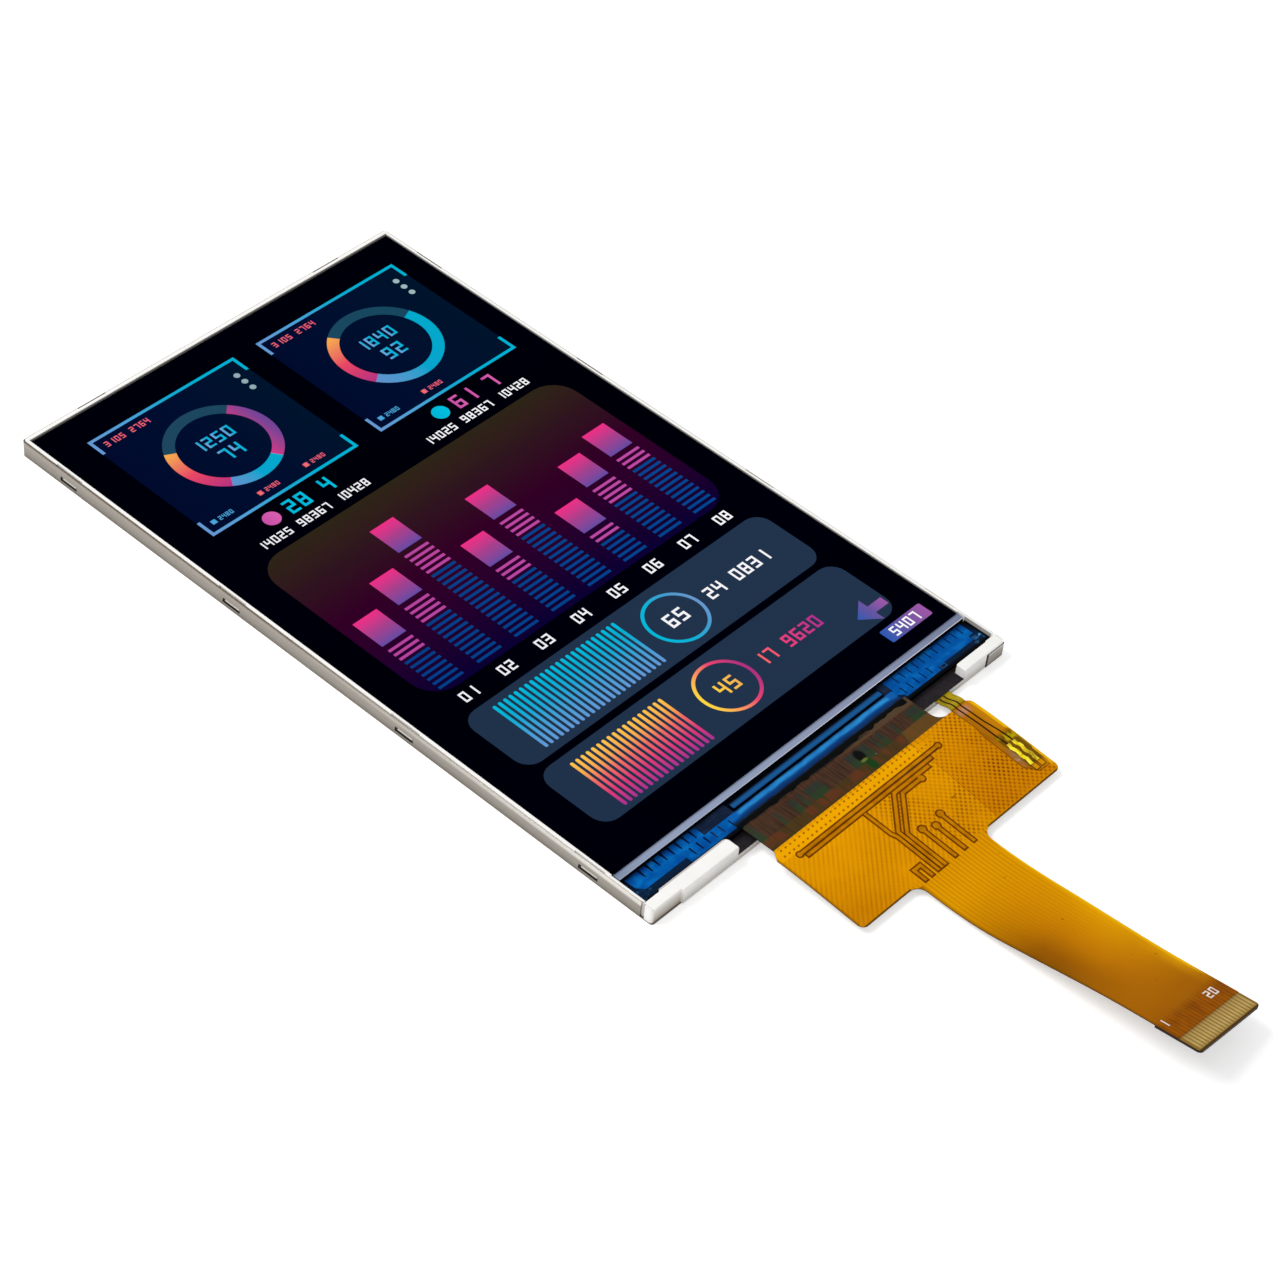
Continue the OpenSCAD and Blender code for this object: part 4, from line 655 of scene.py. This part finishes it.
def bond_zone_look():
    """Base film over tape: green blocks on brown strands, reddish bumps below, black at the top."""
    look = Look("amber_base", "#3a2a1a", 0.34, gloss=0.04)
    x, y, _ = look.place()
    low, high = edges("main_flex")
    cover_y = edges("flex_coverlay")[1].y
    foot_y = cover_y + 1.55
    tone = bond_strands(look, x, y, foot_y)
    olive = look.ramp(look.linear(y, high.y, cover_y), {
        0.0: "#26281e", 0.45: "#2a3a2a", 0.7: "#1e4022", 0.85: "#2e3416", 1.0: "#3c3010"})
    tone = look.paint(tone, olive, look.linear(x, low.x + 1.9, low.x + 1.5), 0.85)

    # Reddish bumps below, a paler piece to the right, a wedge and a thin line along the top
    bumps = look.ramp(look.noise(0.75, 1.0, (1.0, 0.35, 1.0)), {0.49: "#000000", 0.55: "#ffffff"})
    tone = look.paint(tone, "#64301a", look.band(y, cover_y + 0.4, foot_y, 0.2), bumps, 0.65)
    slant = look.plus(x, look.times(y, -0.3))
    piece = look.times(look.linear(slant, 24.3, 24.5), look.linear(y, foot_y + 0.25, foot_y + 0.1))
    tone = look.paint(tone, "#6a4a1e", piece, 0.6)
    line_y = look.math("MULTIPLY_ADD", x, -0.012, high.y - 1.125)
    above = look.minus(y, line_y)
    wedge = look.times(look.linear(above, 0.0, 0.12), look.linear(x, 1.0, 5.0))
    tone = look.paint(tone, "#55432f", wedge, 0.7)
    tone = look.paint(tone, "#5c3018", look.band(above, -0.06, 0.04, 0.05), 0.45)
    ragged = look.plus(above, look.times(look.noise(0.35), 0.9))
    tone = look.paint(tone, "#070909", look.linear(ragged, 0.75, 0.95), look.linear(x, 9.0, 4.0))

    # Dark oval hole in the tape behind, a green drop below it, and dust
    hole_x, hole_y = 3.75, high.y - 2.325
    hole = spot(look, x, y, hole_x, hole_y, 0.6, 0.85)
    tone = look.paint(tone, "#020303", look.linear(hole, 1.25, 0.85))
    drop = spot(look, x, y, hole_x + 0.15, hole_y - 1.65, 0.65, 1.0)
    tone = look.paint(tone, "#143a12", look.linear(drop, 1.3, 0.6))
    lip = spot(look, x, y, hole_x - 0.1, hole_y - 0.75, 0.5, 0.2)
    tone = look.paint(tone, "#66702e", look.linear(lip, 1.3, 0.5))
    dust = look.ramp(look.noise(2.4, 1.0), {0.8: "#000000", 0.83: "#ffffff"})
    tone = look.paint(tone, "#a8a498", dust, 0.6)
    bare_end = look.mix(look.linear(y, low.y + 0.3, low.y + 0.2), "#8c6a2a", "#46300c")
    tone = look.paint(tone, bare_end, look.linear(y, cover_y + 0.05, cover_y - 0.05))
    # Painted shade on the upright edges
    look.colour(look.paint(tone, "#2c1c08", look.side_faces()))
    return look


def copper_look(name, colour, dark):
    look = Look(name, colour, 0.34, gloss=0.05, Specular_Tint=rgb("#ffb020"))
    tone = look.ramp(look.noise(0.8, 3.0), {0.35: dark, 0.65: colour})
    # Painted shade on the upright edges
    look.colour(look.paint(tone, "#5a3000", look.side_faces()))
    look.bump(look.noise(3.0), 0.003)
    return look


def arm_look():
    """Side flex: olive yellow where it hangs free, brown on the body, dark olive round its solder, painted
    glints, reflection and edge shade.
    """
    look = Look("amber_arm", "#b98208", 0.26, gloss=0.12, Specular_Tint=rgb("#ffc040"))
    x, y, _ = look.place()
    body_y = edges("flex_coverlay")[1].y
    pads_low, pads_high = edges("solder_joints")
    middle_x = (pads_low.x + pads_high.x) / 2
    free = look.ramp(look.noise(0.8, 2.0, (1.0, 0.4, 1.0)), {0.35: "#8c7600", 0.65: "#b29a00"})
    across = look.linear(x, middle_x - 1.6, middle_x + 1.4)
    rest = look.ramp(across, {0.0: "#9a5a00", 0.4: "#b26a00", 0.75: "#be7600", 1.0: "#c88000"})
    cloud = look.ramp(look.noise(0.6, 3.0, (1.0, 0.5, 1.0)), {0.35: "#945600", 0.7: "#d69400"})
    rest = look.mix(0.3, rest, cloud)
    glint = look.times(look.band(x, middle_x - 1.2, middle_x + 0.5, 0.3),
                       look.band(y, body_y - 1.35, body_y - 0.4, 0.25))
    rest = look.paint(rest, "#c08a78", glint, 0.55)
    strip = look.times(look.linear(x, middle_x + 1.05, middle_x + 1.3),
                       look.band(y, body_y - 12.0, body_y - 6.5, 0.4))
    rest = look.paint(rest, "#a08800", strip, 0.7)
    tone = look.paint(rest, free, look.linear(y, body_y - 0.1, body_y + 0.1))
    seam = look.band(y, body_y - 0.12, body_y + 0.06, 0.05)
    tone = look.paint(tone, "#4a2c00", seam, 0.6)

    # Dark olive round the solder, a painted reflection of lifted film with pale highlights to its left,
    # amber at the pads' ends
    round_pads = look.times(look.band(x, middle_x - 1.0, middle_x + 1.35, 0.15),
                            look.band(y, pads_low.y - 0.25, pads_high.y + 1.4, 0.35))
    tone = look.paint(tone, "#4c3a00", round_pads, 0.8)
    # Painted yellow glints above the pads
    pad_glints = look.ramp(look.noise(1.5, 1.0, (1.0, 0.7, 1.0)), {0.48: "#000000", 0.6: "#ffffff"})
    pad_glints = look.times(pad_glints, look.band(y, pads_high.y + 0.1, pads_high.y + 1.3, 0.2))
    tone = look.paint(tone, "#c2ae00", pad_glints, round_pads, 0.75)
    film_reflection = look.times(look.band(x, middle_x - 1.4, middle_x - 1.0, 0.25),
                       look.band(y, pads_low.y + 0.7, pads_high.y - 0.9, 0.7))
    tone = look.paint(tone, "#8a6a50", film_reflection, 0.75)
    # Painted highlights on that reflection
    pale = look.ramp(look.noise(0.9, 2.0), {0.5: "#000000", 0.64: "#ffffff"})
    tone = look.paint(tone, "#e0d6cc", film_reflection, pale, 0.7)
    pad_w = 0.5
    for centre in (pads_low.x + pad_w / 2, pads_high.x - pad_w / 2):
        end = look.times(look.band(x, centre - 0.3, centre + 0.3, 0.06),
                         look.band(y, pads_low.y - 0.75, pads_low.y - 0.1, 0.08))
        tone = look.paint(tone, "#d89000", end, 0.9)
        line = look.box_line(centre, pads_low.y - 0.3, pad_w / 2 + 0.1, 0.55, 0.12)
        tone = look.paint(tone, "#3c2200", line, 0.85)
    # Painted shade on the upright edges
    look.colour(look.paint(tone, "#4a2a00", look.side_faces()))
    look.bump(look.noise(0.6, 2.0, (1.0, 0.6, 1.0)), 0.12, 0.6)
    return look


def gold_look():
    look = Look("gold_contacts", "#c9ae62", 0.35, 0.6)
    low, high = edges("contact_fingers")
    down = look.linear(look.place()[1], high.y, low.y)
    tone = look.ramp(down, {0.0: "#7c5e24", 0.15: "#a88a44", 0.7: "#bfa35a", 1.0: "#a08238"})
    look.colour(look.paint(tone, "#a08444", look.noise(1.5, 3.0), 0.4))
    look.bump(look.noise(4.0, 2.0, (1.0, 0.3, 1.0)), 0.003)
    return look


def plain_noise_look(name, dark, pale, roughness, scale=1.5, depth=0.004, **sockets):
    look = Look(name, pale, roughness, **sockets)
    look.colour(look.ramp(look.noise(scale, 3.0), {0.35: dark, 0.65: pale}))
    look.bump(look.noise(scale * 3, 2.0), depth)
    return look


def dress_flex():
    dress(amber_look(), "flex_coverlay")
    dress(bond_zone_look(), "main_flex")
    dress(copper_look("track_copper", "#c88000", "#b06c00"), "flex_tracks")
    dress(arm_look(), "backlight_flex")
    dress(copper_look("arm_copper", "#341c00", "#221200"), "backlight_flex_tracks")
    dress(gold_look(), "contact_fingers")
    dress(plain_noise_look("stiffener_board", "#1c110a", "#2c1c12", 0.5, gloss=0.1),
          "contact_stiffener")
    dress(plain_noise_look("backing_tape", "#1e1a17", "#2e2822", 0.55, gloss=0.1),
          "flex_backing_tape")
    dress(plain_noise_look("white_ink", "#d8cfc4", "#efe8e0", 0.5), "pin_numbers")
    dress(plain_noise_look("bond_film", "#101418", "#1c1f22", 0.4), "flex_bond_film")
    capacitor = Look("capacitor_ceramic", "#9c7c58", 0.4)
    pitch, end_w = 2.4, 0.45
    ends = capacitor.lines(capacitor.place()[0], pitch, end_w, 0.03, 0.7)
    capacitor.colour(capacitor.mix(ends, "#9c7c58", "#c9c6c0"))
    dress(capacitor, "chip_capacitors")


# ---- pieces made here ----


def surface_of(*names):
    """A call that gives the height in millimetres of the highest CAD surface at x, y."""
    trees = []
    for name in names:
        mesh = bmesh.new()
        mesh.from_mesh(nodes[name].data)
        trees.append(BVHTree.FromBMesh(mesh))
        mesh.free()

    def height(x, y):
        found = []
        for tree in trees:
            hit = tree.ray_cast(Vector((x * MM, y * MM, 0.02)), Vector((0, 0, -1)))[0]
            if hit is not None:
                found.append(hit.z / MM)
        return max(found) if found else None

    return height


def make_piece(name, mesh, look, smooth=True):
    data = bpy.data.meshes.new(name)
    mesh.to_mesh(data)
    mesh.free()
    obj = bpy.data.objects.new(name, data)
    bpy.context.scene.collection.objects.link(obj)
    for polygon in data.polygons:
        polygon.use_smooth = smooth
    dress(look, obj)
    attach(obj, "root")
    return obj


def grid_piece(name, look, columns, rows, point):
    """Sheet whose corner i, j lies at point(u, v), in millimetres, with u and v from 0 to 1."""
    mesh = bmesh.new()
    corners = [[mesh.verts.new(Vector(point(i / columns, j / rows)) * MM) for j in range(rows + 1)]
               for i in range(columns + 1)]
    for i in range(columns):
        for j in range(rows):
            mesh.faces.new((corners[i][j], corners[i + 1][j], corners[i + 1][j + 1], corners[i][j + 1]))
    mesh.normal_update()
    return make_piece(name, mesh, look)


def wobble(t, seed):
    """A slow repeatable wave between -1 and 1."""
    return (math.sin(t * 1.7 + seed) + math.sin(t * 3.1 + 2.3 * seed) + math.sin(t * 6.7 + 4.1 * seed)) / 3


def make_track_clearings():
    """Dark line round each wide track, where the copper grid stops short of it."""
    width, lift = 0.2, 0.008
    mesh = bmesh.new()
    mesh.from_mesh(nodes["flex_tracks"].data)
    bmesh.ops.remove_doubles(mesh, verts=mesh.verts, dist=0.002 * MM)
    mesh.normal_update()
    bmesh.ops.delete(mesh, geom=[f for f in mesh.faces if f.normal.z < 0.5], context="FACES")
    following = {}
    for edge in mesh.edges:
        if edge.is_boundary:
            loop = edge.link_loops[0]
            following[loop.vert] = loop.link_loop_next.vert
    height = surface_of("flex_coverlay")
    ring = bmesh.new()

    def lay(x, y, fallback):
        z = height(x, y)
        return ring.verts.new(Vector((x, y, (z if z is not None else fallback) + lift)) * MM)

    while following:
        start, here = next(iter(following.items()))
        points = [start.co / MM]
        del following[start]
        while here is not start and here in following:
            points.append(here.co / MM)
            here = following.pop(here)
        inner, outer = [], []
        for before, at, after in zip(points[-1:] + points[:-1], points, points[1:] + points[:1]):
            to, on = (at - before).xy.normalized(), (after - at).xy.normalized()
            out_way = Vector((to.y + on.y, -to.x - on.x))
            out_way = out_way / max(out_way.length_squared / 2, 0.6)
            inner.append(lay(at.x, at.y, at.z))
            outer.append(lay(at.x + out_way.x * width, at.y + out_way.y * width, at.z))
        for i in range(len(points)):
            ring.faces.new((inner[i - 1], outer[i - 1], outer[i], inner[i]))
    mesh.free()
    ring.normal_update()
    make_piece("track_clearings", ring, copper_look("clearing_brown", "#7a4000", "#663400"))


def make_sealant():
    """Uneven bead of sealant from the chip down onto the flex: clear over blue glass, then black, with
    painted shadow and highlight.
    """
    chip_low, chip_high = edges("driver_chip")
    flex_low, flex_high = edges("flex_bond_film")
    film_top = flex_high.z + 0.06
    seat = edges("ledge_conductors")[0].z
    start_y = edges("ledge_sealant")[1].y
    left, right = flex_low.x - 0.1, flex_high.x - 0.4
    bead_w, bead_tall, ridge_part = 2.0, 0.12, 0.62

    def point(u, v):
        x = left + u * (right - left)
        t = x * 0.8
        wide = bead_w + 0.1 * wobble(t, 1.0) + 0.45 * max(0.0, wobble(t * 0.45, 5.0))
        y = start_y - v * wide
        tall = bead_tall + 0.02 * wobble(t * 2, 3.0)
        ridge = math.sin(math.pi * v / ridge_part) ** 0.8 if v < ridge_part else 0.0
        over = min(1.0, max(0.0, (flex_high.y + 0.3 - y) / 0.3))
        over = over * over * (3 - 2 * over)
        lip = (film_top - seat + 0.012 + 0.02 * math.sin(math.pi * v)) * over
        z = seat + 0.014 + max(tall * ridge, lip)
        end = min(1.0, 22 * u, 22 * (1 - u))
        if y < flex_high.y + 0.05:
            end = 1.0
        return (x, y, seat + 0.013 + (z - seat - 0.013) * end)

    look = Look("clear_sealant", "#1e75b2", 0.2, gloss=0.03)
    x, y, _ = look.place()
    # Painted shadow just below the chip, a painted highlight along the ridge, then black
    ragged = look.plus(y, look.times(look.minus(look.noise(0.4, 2.0), 0.5), 0.35))
    down = look.linear(ragged, start_y, start_y - bead_w)
    tone = look.ramp(down, {
        0.0: "#02060e", 0.05: "#0c4c84", 0.13: "#1e7cc4", 0.26: "#2084cc", 0.36: "#1460a8",
        0.43: "#0b3f7c", 0.62: "#072c60", 0.69: "#04142c", 0.73: "#020508", 1.0: "#030505"})
    streak = look.ramp(look.noise(0.5, 3.0, (1.0, 3.0, 1.0)), {0.35: "#0a4488", 0.7: "#3aa0e0"})
    tone = look.paint(tone, streak, look.linear(down, 0.4, 0.3), 0.3)
    ends = look.linear(look.math("ABSOLUTE", look.minus(x, (chip_low.x + chip_high.x) / 2)),
                       12.0, 12.4)
    bare = look.ramp(down, {
        0.0: "#0858a4", 0.36: "#085cac", 0.5: "#063c78", 0.66: "#041c3c", 0.72: "#020408"})
    look.colour(look.paint(tone, bare, ends))
    look.bump(look.noise(0.9, 2.0), 0.02, 0.5)
    piece = grid_piece("sealant_bead", look, 160, 20, point)
    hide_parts("ledge_sealant")


def make_solder():
    """Two lumpy beads of solder on the side flex."""
    look = Look("solder_yellow", "#e8d020", 0.25, gloss=0.5, Specular_Tint=rgb("#fff080"))
    shade = look.noise(1.1, 2.0, (1.0, 0.7, 1.0), 0.5)
    look.colour(look.ramp(shade, {
        0.3: "#7c5e00", 0.42: "#d0b000", 0.55: "#f0de08", 0.7: "#fdf04c"}))
    low, high = edges("solder_joints")
    height = surface_of("backlight_flex")
    width = 0.5
    for number, x0 in enumerate((low.x, high.x - width)):
        def point(u, v, x0=x0, seed=3.0 * number):
            x = x0 + u * width
            y = high.y - v * (high.y - low.y)
            across = math.sin(math.pi * u)
            along = min(1.0, 5 * v, 5 * (1 - v)) ** 0.5
            lump = 0.15 + 0.05 * wobble(v * 9, seed)
            base = height(min(max(x, x0 + 0.01), x0 + width - 0.01), y)
            bend = 2 * abs((v * 2.6 + 0.2 * number) % 1.0 - 0.5) - 0.5
            shift = (0.2 * bend + 0.04 * wobble(v * 7, seed + 1)) * along
            return (x + shift, y, base + 0.003 + lump * across ** 0.6 * along)

        piece = grid_piece(f"solder_bead_{number + 1}", look, 10, 48, point)
        if number == 0:
            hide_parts("solder_joints")


# ---- picture ----


def lit_look(name, colour_source):
    """Light from the screen: a black film whose glow is given by colour_source(look)."""
    look = Look(name, "#000000", 0.4, gloss=0.0)
    look.set("Emission Color", colour_source(look))
    look.set("Emission Strength", 1.0)
    return look


def islands(mesh):
    """Lists of vertices that hang together."""
    left = set(mesh.verts)
    while left:
        group, todo = [], [left.pop()]
        while todo:
            v = todo.pop()
            group.append(v)
            for edge in v.link_edges:
                other = edge.other_vert(v)
                if other in left:
                    left.remove(other)
                    todo.append(other)
        yield group


def lit_piece(node, stops, axis, whole=False):
    """The node's lit shapes with a colour gradient across each shape, or across them all."""
    mesh = bmesh.new()
    mesh.from_mesh(nodes[node].data)
    bmesh.ops.remove_doubles(mesh, verts=mesh.verts, dist=0.001 * MM)
    layer = mesh.loops.layers.uv.new("span")
    groups = [list(mesh.verts)] if whole else list(islands(mesh))
    for group in groups:
        low = [min(v.co[k] for v in group) for k in (0, 1)]
        high = [max(v.co[k] for v in group) for k in (0, 1)]
        for v in group:
            part = [(v.co[k] - low[k]) / (high[k] - low[k]) for k in (0, 1)]
            for loop in v.link_loops:
                loop[layer].uv = part

    def gradient(look):
        uv = look.node("UVMap", uv_map="span").outputs[0]
        split = look.node("SeparateXYZ", {0: uv})
        return look.ramp(split.outputs["XY".index(axis)], stops)

    obj = make_piece("lit_" + node, mesh, lit_look("glow_" + node, gradient), smooth=False)
    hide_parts(node)


def field_look(name, axis, start, end, stops):
    """Glow that runs through the stops from start to end, in millimetres along the axis."""
    def gradient(look):
        place = look.place()["XY".index(axis)]
        return look.ramp(look.linear(place, start, end), stops)
    return lit_look(name, gradient)


def dress_picture():
    low, high = edges("card_fields")
    cards = field_look("glow_cards", "X", low.x, high.x, {
        0.0: "#000b2e", 0.25: "#010e2f", 0.46: "#00142d", 0.54: "#000b2e", 0.75: "#010f2f",
        1.0: "#00142c"})
    dress(cards, "card_fields")
    low, high = edges("chart_field")
    dress(field_look("glow_chart", "Y", low.y, high.y, {
        0.0: "#0a0034", 0.12: "#16002f", 0.34: "#29002b", 0.55: "#320025", 0.66: "#310a22",
        0.78: "#2f141f", 0.9: "#301e1b", 1.0: "#2d2517"}), "chart_field")
    plain = (("chart_bars_blue", "#023d86", "#024490"), ("chart_bars_pink", "#b5439c", "#bc49a2"),
             ("progress_fields", "#20324a", "#22344c"), ("menu_dots", "#8facb4", "#9ab8bc"),
             ("white_figures", "#f0f0f6", "#fbfbff"), ("gauge_arcs_teal", "#1e465f", "#17485f"))
    for node, a, b in plain:
        low, high = edges(node)
        dress(field_look("glow_" + node, "X", low.x, high.x, {0.0: a, 1.0: b}), node)
    warm = {0.0: "#b23282", 0.25: "#cf3b72", 0.5: "#e94864", 0.75: "#ed815d", 1.0: "#f8b04a"}
    cool = {0.0: "#6698d3", 0.25: "#4ea1d8", 0.5: "#1aa7d2", 0.75: "#02aed4", 1.0: "#02b2d4"}
    lit_piece("card_brackets", cool, "X")
    lit_piece("gauge_arcs_warm", warm, "Y")
    lit_piece("gauge_arcs_cool", {0.0: "#6090cc", 0.25: "#4799cd", 0.5: "#08a3ce", 1.0: "#02a9ca"}, "X")
    lit_piece("gauge_arc_violet", {0.0: "#d83686", 0.4: "#a8408c", 0.75: "#824394", 1.0: "#6a4697"}, "X")
    lit_piece("gauge_figures", {0.0: "#6ea7df", 0.5: "#20a6d7", 1.0: "#02b4da"}, "X")
    lit_piece("pink_captions", {0.0: "#e2567a", 0.5: "#f07a60", 1.0: "#df4097"}, "X")
    lit_piece("cool_captions", {0.0: "#59a0de", 1.0: "#3aa6da"}, "X")
    lit_piece("cyan_reading", {0.0: "#02b4d6", 1.0: "#02c0e2"}, "X")
    lit_piece("magenta_reading", {0.0: "#c84fa6", 1.0: "#d860b0"}, "X")
    lit_piece("chart_caps", {0.0: "#644ba2", 0.5: "#a8408c", 1.0: "#ee2f86"}, "Y")
    lit_piece("progress_bars_cool", {
        0.0: "#6398d6", 0.3: "#4a9dd3", 0.55: "#1ea7d5", 0.8: "#02afd2", 1.0: "#01bcde"}, "Y")
    lit_piece("progress_bars_warm", {
        0.0: "#a43292", 0.3: "#dc3a78", 0.55: "#f06a64", 0.8: "#f8b04e", 1.0: "#fdc64a"}, "Y")
    lit_piece("progress_ring_cool", {0.0: "#01b8da", 0.4: "#10b0d8", 0.7: "#409cce", 1.0: "#6997cc"}, "X")
    lit_piece("progress_ring_warm", {0.0: "#fedc3a", 0.3: "#fb9a5e", 0.6: "#ea4670", 1.0: "#a92e83"}, "X")
    lit_piece("warm_figures", {
        0.0: "#fdd041", 0.25: "#f0a258", 0.4: "#fb6e64", 0.65: "#ef407d", 1.0: "#b32f8f"}, "X", whole=True)
    lit_piece("return_key", {0.0: "#2c5ab0", 0.5: "#68559f", 1.0: "#9f58a8"}, "X")


# ---- light, floor and camera ----


def make_floor():
    look = Look("pale_floor", "#e9e9e9", 0.9, gloss=0.0)
    look.colour(look.ramp(look.noise(0.02, 2.0), {0.3: "#e8e8e8", 0.7: "#eaeaea"}))
    path = look.node("LightPath")
    seen = look.math("MAXIMUM", path.outputs["Is Camera Ray"], path.outputs["Is Glossy Ray"])
    seen = look.math("MAXIMUM", seen, path.outputs["Is Transmission Ray"])
    half, glow, gap = 3.0, 0.42, 0.02 * MM
    look.set("Emission Color", rgb("#ffffff"))
    look.set("Emission Strength", look.times(seen, glow))
    data = bpy.data.meshes.new("floor")
    corners = [(-half, -half, 0), (half, -half, 0), (half, half, 0), (-half, half, 0)]
    data.from_pydata(corners, [], [(0, 1, 2, 3)])
    floor = bpy.data.objects.new("floor", data)
    floor.location.z = cad_size[0][2] - gap
    bpy.context.scene.collection.objects.link(floor)
    dress(look, floor)


def make_world():
    """Plain grey light, which the camera and reflections see as white."""
    ambient = 0.5
    world = bpy.data.worlds.new("studio")
    bpy.context.scene.world = world
    world.use_nodes = True
    tree = world.node_tree
    background = tree.nodes["Background"]
    path = tree.nodes.new("ShaderNodeLightPath")
    seen = path.outputs["Is Camera Ray"]
    for ray in ("Is Glossy Ray", "Is Transmission Ray"):
        either = tree.nodes.new("ShaderNodeMath")
        either.operation = "MAXIMUM"
        tree.links.new(seen, either.inputs[0])
        tree.links.new(path.outputs[ray], either.inputs[1])
        seen = either.outputs[0]
    strength = tree.nodes.new("ShaderNodeMapRange")
    tree.links.new(seen, strength.inputs[0])
    strength.inputs[3].default_value = ambient
    strength.inputs[4].default_value = 1.0
    background.inputs["Color"].default_value = (1, 1, 1, 1)
    tree.links.new(strength.outputs[0], background.inputs["Strength"])


def make_lamp(name, where, target, size, power):
    data = bpy.data.lights.new(name, "AREA")
    data.shape = "DISK"
    data.size = size
    data.energy = power
    lamp = bpy.data.objects.new(name, data)
    lamp.location = where
    lamp.rotation_euler = (Vector(target) - Vector(where)).to_track_quat("-Z", "Y").to_euler()
    bpy.context.scene.collection.objects.link(lamp)


def make_camera():
    azimuth, elevation, roll = (math.radians(a) for a in (-51.795, 44.427, 6.226))
    distance = 0.38269
    target = Vector((-1.0055, -21.0307, 2.3)) * MM
    back = Vector((math.sin(azimuth) * math.cos(elevation), -math.cos(azimuth) * math.cos(elevation),
                   math.sin(elevation)))
    right = (-back).cross(Vector((0, 0, 1))).normalized()
    up = right.cross(-back)
    right, up = (math.cos(roll) * right + math.sin(roll) * up,
                 math.cos(roll) * up - math.sin(roll) * right)
    data = bpy.data.cameras.new("camera")
    data.sensor_width = 36.0
    data.lens = 99.43
    data.clip_start = 0.01
    camera = bpy.data.objects.new("camera", data)
    turn = Matrix((right, up, back)).transposed().to_4x4()
    camera.matrix_world = Matrix.Translation(target + distance * back) @ turn
    bpy.context.scene.collection.objects.link(camera)
    bpy.context.scene.camera = camera


make_camera()
make_world()
make_floor()
make_lamp("key_lamp", (-0.35, 0.45, 0.75), (0, -0.02, 0), 0.5, 5.0)
make_lamp("fill_lamp", (-0.6, -0.5, 0.45), (0, -0.02, 0), 0.6, 2.0)
dress_housing()
dress_backlight()
dress_cell()
dress_flex()
make_track_clearings()
make_sealant()
make_solder()
dress_picture()

bpy.context.scene.view_settings.view_transform = "Standard"
